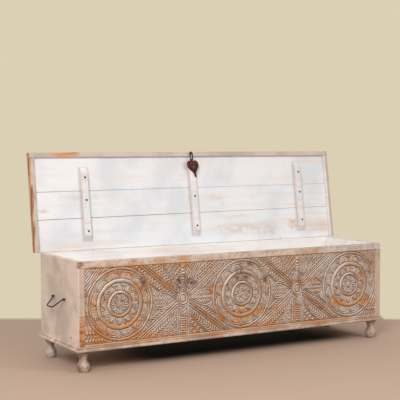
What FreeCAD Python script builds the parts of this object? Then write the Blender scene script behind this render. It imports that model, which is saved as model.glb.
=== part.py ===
"""Damchiya chest: a long, low carved dowry chest on turned feet, shown with its lid open.

Frame: X along the front, -Y out of the carved front, +Z up, origin on the floor under the
middle of the case. Millimetres. Every solid is drawn as it stands at rest: the lid leans back
on the stop lugs of its hinges, the hasp lies on the middle batten, the bails stand out.
"""
import FreeCAD, Part

import math
import os
import re
from types import SimpleNamespace

import Sketcher
from FreeCAD import Placement, Rotation, Vector

SIZES = {
    # case
    "chest_length": 1600.0,
    "chest_depth": 415.0,
    "rim_height": 465.0,
    "plinth_top_height": 110.0,
    "end_thickness": 25.0,
    "front_thickness": 22.0,
    "back_thickness": 20.0,
    "rail_height": 29.0,
    "middle_board_height": 124.0,
    "lower_board_height": 87.0,
    "end_arris": 3.0,
    # floor of the case
    "bearer_height": 21.0,
    "bearer_width": 30.0,
    "bearer_spacing": 516.0,
    "floor_thickness": 16.0,
    "floor_nail_radius": 1.7,
    "floor_nail_head_radius": 3.6,
    "floor_nail_head_height": 0.8,
    "floor_nail_length": 50.0,
    # plinth moulding and feet
    "plinth_overhang": 13.0,
    "plinth_height": 20.0,
    "plinth_inset": 15.0,
    "bead_overhang": 5.0,
    "bead_height": 5.0,
    "recess_overhang": 2.5,
    "lip_height": 12.0,
    "cut_overrun": 1.0,
    "foot_inset": 32.0,
    "foot_flare_radius": 26.5,
    "foot_neck_radius": 15.5,
    "foot_ball_radius": 26.5,
    "foot_sole_radius": 17.0,
    "foot_ball_height": 46.0,
    "foot_neck_height": 53.0,
    "foot_collar_radius": 21.0,
    "foot_collar_height": 6.0,
    "foot_rim_height": 4.0,
    "tenon_radius": 8.0,
    "tenon_clearance": 0.05,
    "corner_block_size": 70.0,
    # carving
    "carving_depth": 4.0,
    "carving_root": 1.0,
    "border_height": 8.0,
    "field_margin": 3.0,
    "medallion_spacing": 610.0,
    "rosette_radius": 17.0,
    "inner_ring_radius": 54.0,
    "inner_ring_width": 10.0,
    "middle_ring_radius": 103.0,
    "middle_ring_width": 13.0,
    "outer_ring_radius": 155.0,
    "outer_ring_width": 4.0,
    "outer_ring_gap": 3.5,
    "ring_slope": 1.4,
    "star_height": 2.4,
    "star_inner_radius": 66.0,
    "star_outer_radius": 94.0,
    "scallop_height": 2.0,
    "scallop_circle_radius": 122.0,
    "scallop_reach": 143.0,
    "boss_half_width": 25.0,
    "boss_half_height": 28.0,
    "boss_ring_width": 5.0,
    "boss_groove": 4.0,
    "band_width": 4.0,
    "band_gap": 5.0,
    "band_clearance": 14.0,
    "fan_start": 31.0,
    "fan_length": 114.0,
    "fan_half_width": 35.0,
    "leaf_height": 2.4,
    "almond_length": 66.0,
    "almond_half_width": 21.0,
    "bead_radius": 5.0,
    "bead_pitch": 13.5,
    "bead_gap": 3.0,
    "stem_leaf_length": 52.0,
    "stem_leaf_half_width": 20.0,
    "column_half_width": 26.0,
    # lid
    "lid_overhang": 29.0,
    "lid_board_thickness": 18.0,
    "lid_rear_gap": 1.0,
    "rear_board_left_width": 143.0,
    "rear_board_right_width": 157.0,
    "middle_board_left_width": 126.0,
    "middle_board_right_width": 120.0,
    "rim_strip_width": 23.0,
    "rim_strip_drop": 14.0,
    "rim_arris": 4.0,
    "lid_open_angle": 99.0,
    "lid_gap": 0.5,
    "batten_width": 30.0,
    "batten_thickness": 20.0,
    "batten_length": 340.0,
    "right_batten_length": 354.0,
    "batten_setback": 35.0,
    "batten_bevel": 27.0,
    "batten_arris": 3.0,
    "left_batten_place": -567.0,
    "centre_batten_place": 6.0,
    "right_batten_place": 630.0,
    "rear_screw_place": 85.0,
    "middle_screw_place": 228.0,
    "front_screw_place": 332.0,
    "left_screw_shift": -5.0,
    "centre_screw_shift": -2.0,
    "right_screw_shift": 4.0,
    "screw_head_radius": 5.0,
    "screw_shank_radius": 2.0,
    "screw_length": 32.0,
    # hinges
    "hinge_spacing": 1040.0,
    "hinge_barrel_radius": 4.0,
    "hinge_pin_radius": 2.2,
    "hinge_pin_clearance": 0.05,
    "hinge_width": 32.0,
    "hinge_notch_width": 36.0,
    "hinge_knuckle_gap": 0.3,
    "hinge_plate": 2.5,
    "hinge_lower_length": 74.0,
    "hinge_upper_length": 78.0,
    "hinge_stop_reach": 17.0,
    "hinge_stop_drop": 20.0,
    "hinge_stop_gap": 0.1,
    "hinge_pin_head": 1.5,
    "hinge_nail_radius": 1.8,
    "hinge_nail_head_radius": 4.0,
    "hinge_nail_head_height": 1.6,
    "hinge_nail_length": 14.0,
    # hasp
    "hasp_eye_setback": 6.0,
    "hasp_eye_drop": 7.6,
    "eye_radius": 5.4,
    "eye_width": 5.0,
    "eye_stem_radius": 2.2,
    "eye_stem_length": 18.0,
    "link_wire_radius": 2.4,
    "link_length": 36.0,
    "link_width": 13.0,
    "pivot_clearance": 0.06,
    "hasp_thickness": 2.5,
    "hasp_leaf_width": 67.0,
    "hasp_leaf_length": 59.0,
    "hasp_tail_length": 25.0,
    "hasp_tail_shift": 22.0,
    "hasp_lean": 6.0,
    "hasp_slot_length": 26.0,
    "hasp_slot_width": 9.0,
    "hasp_slot_angle": 10.0,
    "hasp_slot_shift": 3.0,
    # bails
    "bail_height": 293.0,
    "bail_shift": -8.0,
    "bail_eye_spacing": 119.0,
    "bail_wire_radius": 2.7,
    "bail_reach": 52.0,
    "bail_foot_width": 62.0,
    "bail_bend_radius": 17.0,
    "bail_standoff": 8.0,
    "bail_angle": 50.0,
    "bail_end": 2.5,
}
STAR_POINTS = 12
SCALLOPS = 16
BEADS = 4

doc = FreeCAD.newDocument("damchiya_chest")
sheet = doc.addObject("Spreadsheet::Sheet", "Sizes")
for row, (alias, value) in enumerate(SIZES.items(), start=1):
    sheet.set(f"A{row}", alias.replace("_", " "))
    sheet.set(f"B{row}", str(value))
    sheet.setAlias(f"B{row}", alias)
doc.recompute()
size = SimpleNamespace(**{alias: float(getattr(sheet, alias)) for alias in SIZES})
parts = []


def in_sheet(words):
    """Rewrite size names in a sum so that they read the sheet's cells."""
    return re.sub(r"[a-z_]+", lambda word: f"Sizes.{word[0]}" if word[0] in SIZES else word[0], words)


def bind(thing, sums):
    """Bind properties of an object to sums of named sizes."""
    for name, words in sums.items():
        thing.setExpression(name, in_sheet(words))


def keep(thing, label):
    """Name a finished sub-part and list it for export."""
    thing.Label = label
    parts.append(thing)
    return thing


def place(thing, spot, rotation=None):
    """Put an object at a spot given as three sums."""
    if rotation is not None:
        thing.Placement = Placement(Vector(), rotation)
    axes = ("x", "y", "z")
    bind(thing, {f"Placement.Base.{axis}": words for axis, words in zip(axes, spot) if words != "0"})


def draw_outline(sketch, points):
    """Draw a closed outline whose corners follow sums of named sizes."""
    flat = [Vector(index, index * index, 0) for index in range(len(points))]
    for index in range(len(points)):
        sketch.addGeometry(Part.LineSegment(flat[index], flat[(index + 1) % len(flat)]))
    first = sketch.GeometryCount - len(points)
    for index in range(len(points)):
        following = first + (index + 1) % len(points)
        sketch.addConstraint(Sketcher.Constraint("Coincident", first + index, 2, following, 1))
    for index, corner in enumerate(points):
        for kind, other_axis, words in (("DistanceX", -2, corner[0]), ("DistanceY", -1, corner[1])):
            if words == "0":
                rule = Sketcher.Constraint("PointOnObject", first + index, 1, other_axis)
                sketch.addConstraint(rule)
                continue
            rule = Sketcher.Constraint(kind, -1, 1, first + index, 1, 1.0)
            number = sketch.addConstraint(rule)
            sketch.setExpression(f"Constraints[{number}]", in_sheet(words))


def body_sketch(body, role, name):
    """A sketch on one of the body's own origin planes."""
    plane = next(plane for plane in body.Origin.OriginFeatures if plane.Role == role)
    sketch = body.newObject("Sketcher::SketchObject", name)
    sketch.AttachmentSupport = (plane, [""])
    sketch.MapMode = "FlatFace"
    return sketch


def padded(name, points, height, role="XY_Plane", midplane=False):
    """A body padded from one closed outline."""
    body = doc.addObject("PartDesign::Body", name)
    sketch = body_sketch(body, role, name + "_outline")
    draw_outline(sketch, points)
    pad = body.newObject("PartDesign::Pad", name + "_pad")
    pad.Profile = sketch
    if midplane:
        pad.SideType = "Symmetric"
    bind(pad, {"Length": height})
    doc.recompute()
    return body


def rectangle(low, high):
    """The four corners of a rectangle between two corners given as sums."""
    return [(low[0], low[1]), (high[0], low[1]), (high[0], high[1]), (low[0], high[1])]


def chamfered(body, edge_wanted, size_name, kind="Chamfer"):
    """Take the arris off the edges of a body's tip that a test picks."""
    solid = body.Tip
    names = [f"Edge{n}" for n, edge in enumerate(solid.Shape.Edges, start=1) if edge_wanted(edge)]
    dressing = body.newObject("PartDesign::" + kind, body.Name + "_arris")
    dressing.Base = (solid, names)
    bind(dressing, {"Radius" if kind == "Fillet" else "Size": size_name})
    doc.recompute()
    return body


def runs_along(edge, axis):
    """Whether an edge is a straight line along one axis, 0 for X, 1 for Y, 2 for Z."""
    ends = [vertex.Point for vertex in edge.Vertexes]
    if len(ends) < 2:
        return False
    step = ends[1] - ends[0]
    return abs(step[axis]) > 0.999 * step.Length


def cut(base, tool, name):
    """A boolean cut of two objects of the document."""
    result = doc.addObject("Part::Cut", name)
    result.Base = base
    result.Tool = tool
    return result


def fused(shapes, name):
    """One object that holds several objects together."""
    result = doc.addObject("Part::MultiFuse", name)
    result.Shapes = shapes
    return result


def shaped(name, shape, spot=None):
    """An object whose shape is made from the named sizes by Part's own functions."""
    thing = doc.addObject("Part::Feature", name)
    thing.Shape = shape
    if spot is not None:
        thing.Placement = spot.multiply(shape.Placement)
    return thing


# the case: planes that its boards share
LEFT, RIGHT = "-chest_length / 2", "chest_length / 2"
FRONT, BACK = "-chest_depth / 2", "chest_depth / 2"
INNER_LEFT = "-chest_length / 2 + end_thickness"
INNER_RIGHT = "chest_length / 2 - end_thickness"
INNER_FRONT = "-chest_depth / 2 + front_thickness"
INNER_BACK = "chest_depth / 2 - back_thickness"
CASE_FOOT = "plinth_top_height"
RAIL_FOOT = "rim_height - rail_height"
FLOOR_UNDERSIDE = "plinth_top_height + bearer_height"
SIDES = (("left", -1), ("right", 1))

front_face = -size.chest_depth / 2
inner_front = front_face + size.front_thickness
inner_back = size.chest_depth / 2 - size.back_thickness
case_half_length = size.chest_length / 2
ground = front_face + size.carving_depth
field_foot = size.plinth_top_height + size.border_height
field_top = size.rim_height - size.rail_height
field_middle = (field_foot + field_top) / 2
floor_nail_level = size.plinth_top_height + size.bearer_height + size.floor_thickness / 2
floor_board_width = (inner_back - inner_front) / 3


def moved(shape, x=0.0, y=0.0, z=0.0):
    """A copy of a shape, shifted."""
    return shape.translated(Vector(x, y, z))


def rod(radius, length, start, direction):
    """A round bar from a point along a direction."""
    return Part.makeCylinder(radius, length, start, direction)


def rounded_path(corners, radii):
    """A wire of straight runs joined by tangent arcs, one radius for each inner corner."""
    edges = []
    last = corners[0]
    for before, corner, after, radius in zip(corners, corners[1:], corners[2:], radii):
        back_way = (before - corner).normalize()
        on_way = (after - corner).normalize()
        half_turn = back_way.getAngle(on_way) / 2
        start = corner + back_way * (radius / math.tan(half_turn))
        end = corner + on_way * (radius / math.tan(half_turn))
        inward = (back_way + on_way).normalize()
        middle = corner + inward * (radius / math.sin(half_turn) - radius)
        if (start - last).Length > size.pivot_clearance:
            edges.append(Part.makeLine(last, start))
        edges.append(Part.Arc(start, middle, end).toShape())
        last = end
    if (corners[-1] - last).Length > size.pivot_clearance:
        edges.append(Part.makeLine(last, corners[-1]))
    return Part.Wire(edges)


def wire_along(path, radius):
    """Round wire bent along a path."""
    start = path.Edges[0].firstVertex(True).Point
    tangent = path.Edges[0].tangentAt(path.Edges[0].FirstParameter)
    section = Part.Wire([Part.makeCircle(radius, start, tangent)])
    return path.makePipeShell([section], True, False)


# floor of the case: four bearers across, three boards along, nails through the ends

def make_floor_nails():
    """Six nails with flat heads, one through each end board into each floor board."""
    nails = []
    for side in (-1, 1):
        for place_share in (-1, 0, 1):
            y = (inner_front + inner_back) / 2 + place_share * floor_board_width
            outside = Vector(side * case_half_length, y, floor_nail_level)
            inward = Vector(-side, 0, 0)
            shank = rod(size.floor_nail_radius, size.floor_nail_length, outside, inward)
            head = rod(size.floor_nail_head_radius, size.floor_nail_head_height, outside, -inward)
            nails.append(shank.fuse(head).removeSplitter())
    return shaped("floor_nails", Part.makeCompound(nails))


def make_floor(nails):
    """Bearers and floor boards, which lie on the corner blocks between front and back."""
    depth = f"({INNER_BACK}) - ({INNER_FRONT})"
    bearers = (
        ("floor_bearer_left_end", INNER_LEFT),
        ("floor_bearer_left", "-bearer_spacing / 2 - bearer_width / 2"),
        ("floor_bearer_right", "bearer_spacing / 2 - bearer_width / 2"),
        ("floor_bearer_right_end", f"{INNER_RIGHT} - bearer_width"),
    )
    for name, start in bearers:
        corners = rectangle((start, INNER_FRONT), (f"{start} + bearer_width", INNER_BACK))
        bearer = padded(name + "_stock", corners, "bearer_height")
        place(bearer, ("0", "0", CASE_FOOT))
        keep(bearer, name)
    for index, name in enumerate(("floor_board_front", "floor_board_middle", "floor_board_back")):
        low = f"{INNER_FRONT} + ({depth}) * {index} / 3"
        high = f"{INNER_FRONT} + ({depth}) * {index + 1} / 3"
        corners = rectangle((INNER_LEFT, low), (INNER_RIGHT, high))
        board = padded(name + "_stock", corners, "floor_thickness")
        place(board, ("0", "0", FLOOR_UNDERSIDE))
        keep(cut(board, nails, name + "_nailed"), name)


# ends, back and rail of the case

def make_eye(centre, axis, inward, bore, stem_length):
    """A forged eye: a short ring on a stem that is driven into the wood."""
    ring = rod(size.eye_radius, size.eye_width, centre - axis * (size.eye_width / 2), axis)
    stem = rod(size.eye_stem_radius, stem_length, centre, inward)
    hole = rod(bore, size.eye_width * 2, centre - axis * size.eye_width, axis)
    return ring.fuse(stem).cut(hole).removeSplitter()


def make_bail_eyes(name, side):
    """The two eyes that carry one bail."""
    eyes = []
    for end in (-1, 1):
        centre = Vector(
            side * (case_half_length + size.bail_standoff),
            size.bail_shift + end * size.bail_eye_spacing / 2,
            size.bail_height,
        )
        bore = size.bail_wire_radius + size.pivot_clearance
        length = size.eye_stem_length + size.bail_standoff
        eyes.append(make_eye(centre, Vector(0, 1, 0), Vector(-side, 0, 0), bore, length))
    return shaped(name + "_pair", Part.makeCompound(eyes))


def make_end(side_name, side, tools):
    """One end board, whose front edge shows beside the carved boards, notched for the rail."""
    name = f"{side_name}_end_board"
    corners = [
        (FRONT, CASE_FOOT),
        (BACK, CASE_FOOT),
        (BACK, "rim_height"),
        (INNER_FRONT, "rim_height"),
        (INNER_FRONT, RAIL_FOOT),
        (FRONT, RAIL_FOOT),
    ]
    board = padded(name + "_stock", corners, "end_thickness", role="YZ_Plane")
    outer = 0.0 if side < 0 else size.end_thickness

    def outer_front(edge):
        return (
            runs_along(edge, 2)
            and abs(edge.CenterOfMass.x - outer) < size.end_arris / 2
            and abs(edge.CenterOfMass.y - front_face) < size.end_arris / 2
        )

    chamfered(board, outer_front, "end_arris", kind="Fillet")
    place(board, (LEFT if side < 0 else INNER_RIGHT, "0", "0"))
    keep(cut(board, fused(tools, name + "_holes"), name + "_drilled"), name)


def make_back(hinge_nails):
    """Two plain boards, one above the other, between the ends."""
    middle = "(plinth_top_height + rim_height) / 2"
    for name, low, high in (
        ("back_lower_board", CASE_FOOT, middle),
        ("back_upper_board", middle, "rim_height"),
    ):
        corners = rectangle((INNER_LEFT, INNER_BACK), (INNER_RIGHT, BACK))
        board = padded(name + "_stock", corners, f"({high}) - ({low})")
        place(board, ("0", "0", low))
        if name == "back_upper_board":
            board = cut(board, hinge_nails, name + "_nailed")
        keep(board, name)


def make_rail():
    """The plain rail along the top of the front, which laps over the end boards."""
    corners = rectangle((LEFT, FRONT), (RIGHT, INNER_FRONT))
    rail = padded("front_top_rail_stock", corners, "rail_height")

    def front_corner(edge):
        return runs_along(edge, 2) and edge.CenterOfMass.y < front_face + size.end_arris

    chamfered(rail, front_corner, "end_arris", kind="Fillet")
    place(rail, ("0", "0", RAIL_FOOT))
    keep(rail, "front_top_rail")


# carved front: rings turned about each medallion's axis, with plates and bands between them

def make_medallion_rings(index):
    """The button and the rings of one medallion, turned about an axis square to the front."""
    rise = "ring_slope * carving_root / carving_depth"
    lean = "ring_slope * (carving_depth + 2 * carving_root) / carving_depth"
    second = "outer_ring_radius - outer_ring_width - outer_ring_gap"
    bands = (
        ("0", "rosette_radius"),
        ("inner_ring_radius - inner_ring_width / 2", "inner_ring_radius + inner_ring_width / 2"),
        ("middle_ring_radius - middle_ring_width / 2", "middle_ring_radius + middle_ring_width / 2"),
        (f"{second} - outer_ring_width", second),
        ("outer_ring_radius - outer_ring_width", "outer_ring_radius"),
    )
    root, top = "carving_root", "-carving_depth - 2 * carving_root"
    sketch = doc.addObject("Sketcher::SketchObject", f"medallion_profile_{index}")
    for low, high in bands:
        inner_root = "0" if low == "0" else f"{low} - {rise}"
        inner_top = "0" if low == "0" else f"{low} + {lean} / 2"
        draw_outline(
            sketch,
            [
                (inner_root, root),
                (f"{high} + {rise}", root),
                (f"{high} - {lean} / 2", top),
                (inner_top, top),
            ],
        )
    rings = doc.addObject("Part::Revolution", f"medallion_rings_{index}")
    rings.Source = sketch
    rings.Axis = Vector(0, 1, 0)
    rings.Solid = True
    rings.FaceMakerClass = "Part::FaceMakerBullseye"
    place(
        rings,
        (
            f"medallion_spacing * {index}",
            f"{FRONT} + carving_depth",
            f"(plinth_top_height + border_height + {RAIL_FOOT}) / 2",
        ),
    )
    return rings


def relief(face, height):
    """A plate of carving, its face drawn flat, from just under the ground up to a height."""
    return moved(face, z=-size.carving_root).extrude(Vector(0, 0, height + size.carving_root))


def around(radius, turn_share):
    """A point on a circle, by its share of a full turn."""
    angle = 2 * math.pi * turn_share
    return Vector(radius * math.cos(angle), radius * math.sin(angle), 0)


def disc(radius):
    """A flat round face."""
    return Part.Face(Part.Wire([Part.makeCircle(radius)]))


def make_medallion_plates():
    """The pointed star inside the middle ring and the scallops outside it."""
    points = []
    for tip in range(STAR_POINTS):
        points.append(around(size.star_outer_radius, tip / STAR_POINTS))
        points.append(around(size.star_inner_radius, (tip + 1 / 2) / STAR_POINTS))
    star = Part.Face(Part.makePolygon(points + points[:1])).cut(disc(size.inner_ring_radius))
    lobes = []
    for lobe in range(SCALLOPS):
        start = around(size.scallop_circle_radius, (lobe - 1 / 2) / SCALLOPS)
        crown = around(size.scallop_reach, lobe / SCALLOPS)
        end = around(size.scallop_circle_radius, (lobe + 1 / 2) / SCALLOPS)
        lobes.append(Part.Arc(start, crown, end).toShape())
    scallops = Part.Face(Part.Wire(lobes)).cut(disc(size.middle_ring_radius))
    return [relief(star, size.star_height), relief(scallops, size.scallop_height)]


def ellipse(half_width, half_height):
    """A flat oval face, taller than it is wide."""
    curve = Part.Ellipse(Vector(), half_height, half_width).toShape()
    curve.rotate(Vector(), Vector(0, 0, 1), 90)
    return Part.Face(Part.Wire([curve]))


def lens(foot, tip, half_width):
    """An upright almond between two points, made of two arcs."""
    middle = (foot + tip) / 2
    swing = Vector(half_width, 0, 0)
    sides = [Part.Arc(foot, middle + swing, tip), Part.Arc(tip, middle - swing, foot)]
    return Part.Face(Part.Wire([side.toShape() for side in sides]))


def make_boss_relief():
    """The oval boss and what springs from it: fans, crossing double bands, leaf, beads, stem."""
    full = size.carving_depth + 2 * size.carving_root
    groove = size.boss_ring_width + size.boss_groove
    rim = ellipse(size.boss_half_width, size.boss_half_height).cut(
        ellipse(size.boss_half_width - size.boss_ring_width, size.boss_half_height - size.boss_ring_width)
    )
    core = ellipse(size.boss_half_width - groove, size.boss_half_height - groove)
    plates = [relief(rim, full), relief(core, full)]

    belly_share, shoulder_share, waist_share = 0.74, 0.93, 0.4
    for side in (-1, 1):
        points = [
            Vector(side * (size.fan_start + along * size.fan_length), across * size.fan_half_width, 0)
            for along, across in (
                (0, 0),
                (waist_share, shoulder_share / 2),
                (belly_share, 1),
                (shoulder_share, belly_share),
                (1, 0),
            )
        ]
        apex, waist, belly, shoulder, end = points
        flip = [Vector(point.x, -point.y, 0) for point in points]
        edges = [
            Part.Arc(apex, waist, belly),
            Part.Arc(belly, shoulder, end),
            Part.Arc(end, flip[3], flip[2]),
            Part.Arc(flip[2], flip[1], apex),
        ]
        fan = Part.Face(Part.Wire([edge.toShape() for edge in edges]))
        plates.append(relief(fan, size.leaf_height))

    tangent_distance = size.outer_ring_radius + size.band_clearance
    slope = math.asin(tangent_distance / (size.medallion_spacing / 2))
    reach = (field_top - field_foot) / math.sin(slope)
    offset = (size.band_gap + size.band_width) / 2
    for quarter in range(4):
        lean = slope if quarter % 2 == 0 else -slope
        turn = math.degrees(lean) + (180 if quarter > 1 else 0)
        for side in (-1, 1):
            bar = Part.makeBox(reach, size.band_width, full + size.carving_root)
            start = Vector(size.fan_start, side * offset - size.band_width / 2, -size.carving_root)
            bar.translate(start)
            bar.rotate(Vector(), Vector(0, 0, 1), turn)
            plates.append(bar)

    leaf_foot = size.fan_start
    leaf_tip = leaf_foot + size.almond_length
    almond = lens(Vector(0, leaf_foot, 0), Vector(0, leaf_tip, 0), size.almond_half_width)
    plates.append(relief(almond, size.leaf_height))
    for bead in range(BEADS):
        level = leaf_tip + size.bead_radius + size.bead_gap + bead * size.bead_pitch
        plates.append(relief(moved(disc(size.bead_radius), y=level), full))

    stem_foot = -(leaf_foot + size.stem_leaf_length)
    half = size.stem_leaf_half_width
    top_right, top_left = Vector(half / 2, -leaf_foot, 0), Vector(-half / 2, -leaf_foot, 0)
    low_right, low_left = Vector(half, stem_foot + half, 0), Vector(-half, stem_foot + half, 0)
    stem_outline = [
        Part.makeLine(top_left, top_right),
        Part.makeLine(top_right, low_right),
        Part.Arc(low_right, Vector(0, stem_foot, 0), low_left).toShape(),
        Part.makeLine(low_left, top_left),
    ]
    plates.append(relief(Part.Face(Part.Wire(stem_outline)), size.leaf_height))
    drop = (field_top - field_foot) / 2
    for side in (-1, 1):
        ribs = ((size.column_half_width, -leaf_foot), (size.column_half_width / 2, stem_foot))
        for half_width, top in ribs:
            rib = Part.makeBox(size.band_width, drop, full + size.carving_root)
            start = Vector(side * half_width - size.band_width / 2, top - drop, -size.carving_root)
            plates.append(moved(rib, *start))
    return plates


def stand_up(shape, x):
    """Turn carving that was drawn flat so that it stands out of the front at one place along it."""
    turn = Placement(Vector(x, ground, field_middle), Rotation(Vector(1, 0, 0), 90))
    return shape.transformed(turn.toMatrix())


def make_front():
    """Three boards between the ends, carved as one panel."""
    field = padded(
        "carved_field",
        rectangle(
            (f"{INNER_LEFT} + field_margin", f"{FRONT} - carving_root"),
            (f"{INNER_RIGHT} - field_margin", f"{FRONT} + carving_depth"),
        ),
        f"{RAIL_FOOT} - plinth_top_height - border_height + carving_root",
    )
    place(field, ("0", "0", "plinth_top_height + border_height"))
    islands = [make_medallion_rings(index) for index in (-1, 0, 1)]
    plates = []
    for index in (-1, 0, 1):
        plates += [stand_up(plate, index * size.medallion_spacing) for plate in make_medallion_plates()]
    for side in (-1, 1):
        plates += [stand_up(plate, side * size.medallion_spacing / 2) for plate in make_boss_relief()]
    islands.append(shaped("carved_plates", plates[0].multiFuse(plates[1:])))
    ground_cutter = cut(field, fused(islands, "carving_left_standing"), "carving_cut_away")

    lower_top = "plinth_top_height + lower_board_height"
    middle_top = f"{lower_top} + middle_board_height"
    boards = (
        ("front_lower_board", CASE_FOOT, lower_top),
        ("front_middle_board", lower_top, middle_top),
        ("front_upper_board", middle_top, RAIL_FOOT),
    )
    for name, low, high in boards:
        corners = rectangle((INNER_LEFT, FRONT), (INNER_RIGHT, INNER_FRONT))
        board = padded(name + "_stock", corners, f"({high}) - ({low})")
        place(board, ("0", "0", low))
        keep(cut(board, ground_cutter, name + "_carved"), name)


# plinth: mitred mouldings, corner blocks and turned feet

def make_moulding(name, run, spot, turn):
    """One length of plinth moulding, drawn along X with its face to -Y, mitred at both ends."""
    recess_top = "plinth_height - bead_height"
    lip_arris = "(plinth_overhang - recess_overhang) / 3"
    corners = [
        ("plinth_inset", "0"),
        ("plinth_inset", "plinth_height"),
        ("-bead_overhang", "plinth_height"),
        ("-bead_overhang", recess_top),
        ("-recess_overhang", recess_top),
        ("-recess_overhang", "lip_height"),
        (f"{lip_arris} - plinth_overhang", "lip_height"),
        ("-plinth_overhang", f"lip_height - {lip_arris}"),
        ("-plinth_overhang", lip_arris),
        (f"{lip_arris} - plinth_overhang", "0"),
    ]
    body = padded(name + "_stock", corners, run, role="YZ_Plane", midplane=True)
    mitres = body_sketch(body, "XY_Plane", name + "_mitres")
    for sign in ("", "-"):
        outer = f"{sign}(({run}) / 2 + cut_overrun)"
        inner = f"{sign}(({run}) / 2 - plinth_overhang - plinth_inset - cut_overrun)"
        draw_outline(
            mitres,
            [
                (outer, f"-plinth_overhang - cut_overrun"),
                (outer, f"plinth_inset + cut_overrun"),
                (inner, f"plinth_inset + cut_overrun"),
            ],
        )
    pocket = body.newObject("PartDesign::Pocket", name + "_mitre_cuts")
    pocket.Profile = mitres
    pocket.Type = "ThroughAll"
    pocket.SideType = "Symmetric"
    doc.recompute()
    place(body, spot, Rotation(Vector(0, 0, 1), turn))
    keep(body, name)


def make_foot_profile():
    """Half of a turned foot: sole, ball, neck, flare, collar and the tenon above."""
    height = size.plinth_top_height - size.plinth_height
    collar_foot = height - size.foot_collar_height
    rim_foot = collar_foot - size.foot_rim_height
    ball_middle = size.foot_ball_height / 2
    waist = (size.foot_neck_height + rim_foot) / 2
    tenon_top = height + size.plinth_height
    sole = Vector(size.foot_sole_radius, 0, 0)
    ball = Vector(size.foot_ball_radius, 0, ball_middle)
    ball_top = Vector(size.foot_sole_radius, 0, size.foot_ball_height)
    neck = Vector(size.foot_neck_radius, 0, size.foot_neck_height)
    waist_share = 0.25
    flare_growth = size.foot_flare_radius - size.foot_neck_radius
    flare_mid = Vector(size.foot_neck_radius + flare_growth * waist_share, 0, waist)
    flare = Vector(size.foot_flare_radius, 0, rim_foot)
    points = [
        Vector(size.foot_flare_radius, 0, collar_foot),
        Vector(size.foot_collar_radius, 0, collar_foot),
        Vector(size.foot_collar_radius, 0, height),
        Vector(size.tenon_radius, 0, height),
        Vector(size.tenon_radius, 0, tenon_top),
        Vector(0, 0, tenon_top),
        Vector(0, 0, 0),
        sole,
    ]
    edges = [
        Part.Arc(sole, ball, ball_top).toShape(),
        Part.makeLine(ball_top, neck),
        Part.Arc(neck, flare_mid, flare).toShape(),
    ]
    edges += [Part.makeLine(start, end) for start, end in zip([flare] + points, points)]
    return Part.Face(Part.Wire(edges))


def make_plinth():
    """Four mouldings, and at each corner a block that holds a foot by its tenon."""
    long_run = "chest_length + 2 * plinth_overhang"
    short_run = "chest_depth + 2 * plinth_overhang"
    plinth_foot = "plinth_top_height - plinth_height"
    make_moulding("plinth_front", long_run, ("0", FRONT, plinth_foot), 0)
    make_moulding("plinth_right", short_run, (RIGHT, "0", plinth_foot), 90)
    make_moulding("plinth_back", long_run, ("0", BACK, plinth_foot), 180)
    make_moulding("plinth_left", short_run, (LEFT, "0", plinth_foot), -90)
    profile = make_foot_profile()
    bore_radius = size.tenon_radius + size.tenon_clearance
    for end_name, end in (("front", -1), ("back", 1)):
        for side_name, side in SIDES:
            corner_x = side * (case_half_length - size.plinth_inset)
            corner_y = end * (size.chest_depth / 2 - size.plinth_inset)
            foot_x = side * (case_half_length - size.foot_inset)
            foot_y = end * (size.chest_depth / 2 - size.foot_inset)
            level = size.plinth_top_height - size.plinth_height
            foot_face = shaped(f"foot_profile_{end_name}_{side_name}", profile)
            foot = doc.addObject("Part::Revolution", f"foot_turning_{end_name}_{side_name}")
            foot.Source = foot_face
            foot.Axis = Vector(0, 0, 1)
            foot.Placement = Placement(Vector(foot_x, foot_y, 0), Rotation())
            keep(foot, f"foot_{end_name}_{side_name}")
            block = Part.makeBox(
                size.corner_block_size,
                size.corner_block_size,
                size.plinth_height,
                Vector(
                    corner_x - (size.corner_block_size if side > 0 else 0),
                    corner_y - (size.corner_block_size if end > 0 else 0),
                    level,
                ),
            )
            bore_foot = Vector(foot_x, foot_y, level - size.plinth_height / 2)
            bore = rod(bore_radius, size.plinth_height * 2, bore_foot, Vector(0, 0, 1))
            keep(
                shaped(f"block_{end_name}_{side_name}", block.cut(bore)),
                f"corner_block_{end_name}_{side_name}",
            )


# lid: drawn closed about the hinge line, then leaned back by the opening angle

HINGE_LINE = ("0", "chest_depth / 2 + hinge_barrel_radius", "rim_height + lid_gap")
hinge_y = size.chest_depth / 2 + size.hinge_barrel_radius
hinge_z = size.rim_height + size.lid_gap
lid_turn = Rotation(Vector(1, 0, 0), -size.lid_open_angle)
lid_spot = Placement(Vector(0, hinge_y, hinge_z), lid_turn)
lid_width = size.chest_depth + size.lid_overhang
LID_HALF = "chest_length / 2 + lid_overhang"
INSIDE_STRIP = "chest_length / 2 + lid_overhang - rim_strip_width"
LID_FRONT = "-(chest_depth + lid_overhang + hinge_barrel_radius)"
LID_REAR = "-lid_rear_gap"
STRIP_BACK = "rim_strip_width - (chest_depth + lid_overhang + hinge_barrel_radius)"
BATTENS = (
    ("left", "left_batten_place", "batten_length"),
    ("centre", "centre_batten_place", "batten_length"),
    ("right", "right_batten_place", "right_batten_length"),
)


def place_on_lid(thing, x="0", z="0"):
    """Lean a piece back with the lid, after a shift in the lid's own frame."""
    thing.Placement = Placement(Vector(), Rotation(Vector(1, 0, 0), -1.0))
    rise = f"({z})"
    sums = {
        "Placement.Base.y": f"{HINGE_LINE[1]} + {rise} * sin(lid_open_angle)",
        "Placement.Base.z": f"{HINGE_LINE[2]} + {rise} * cos(lid_open_angle)",
        "Placement.Rotation.Angle": "-lid_open_angle",
    }
    if x != "0":
        sums["Placement.Base.x"] = x
    bind(thing, sums)


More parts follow.
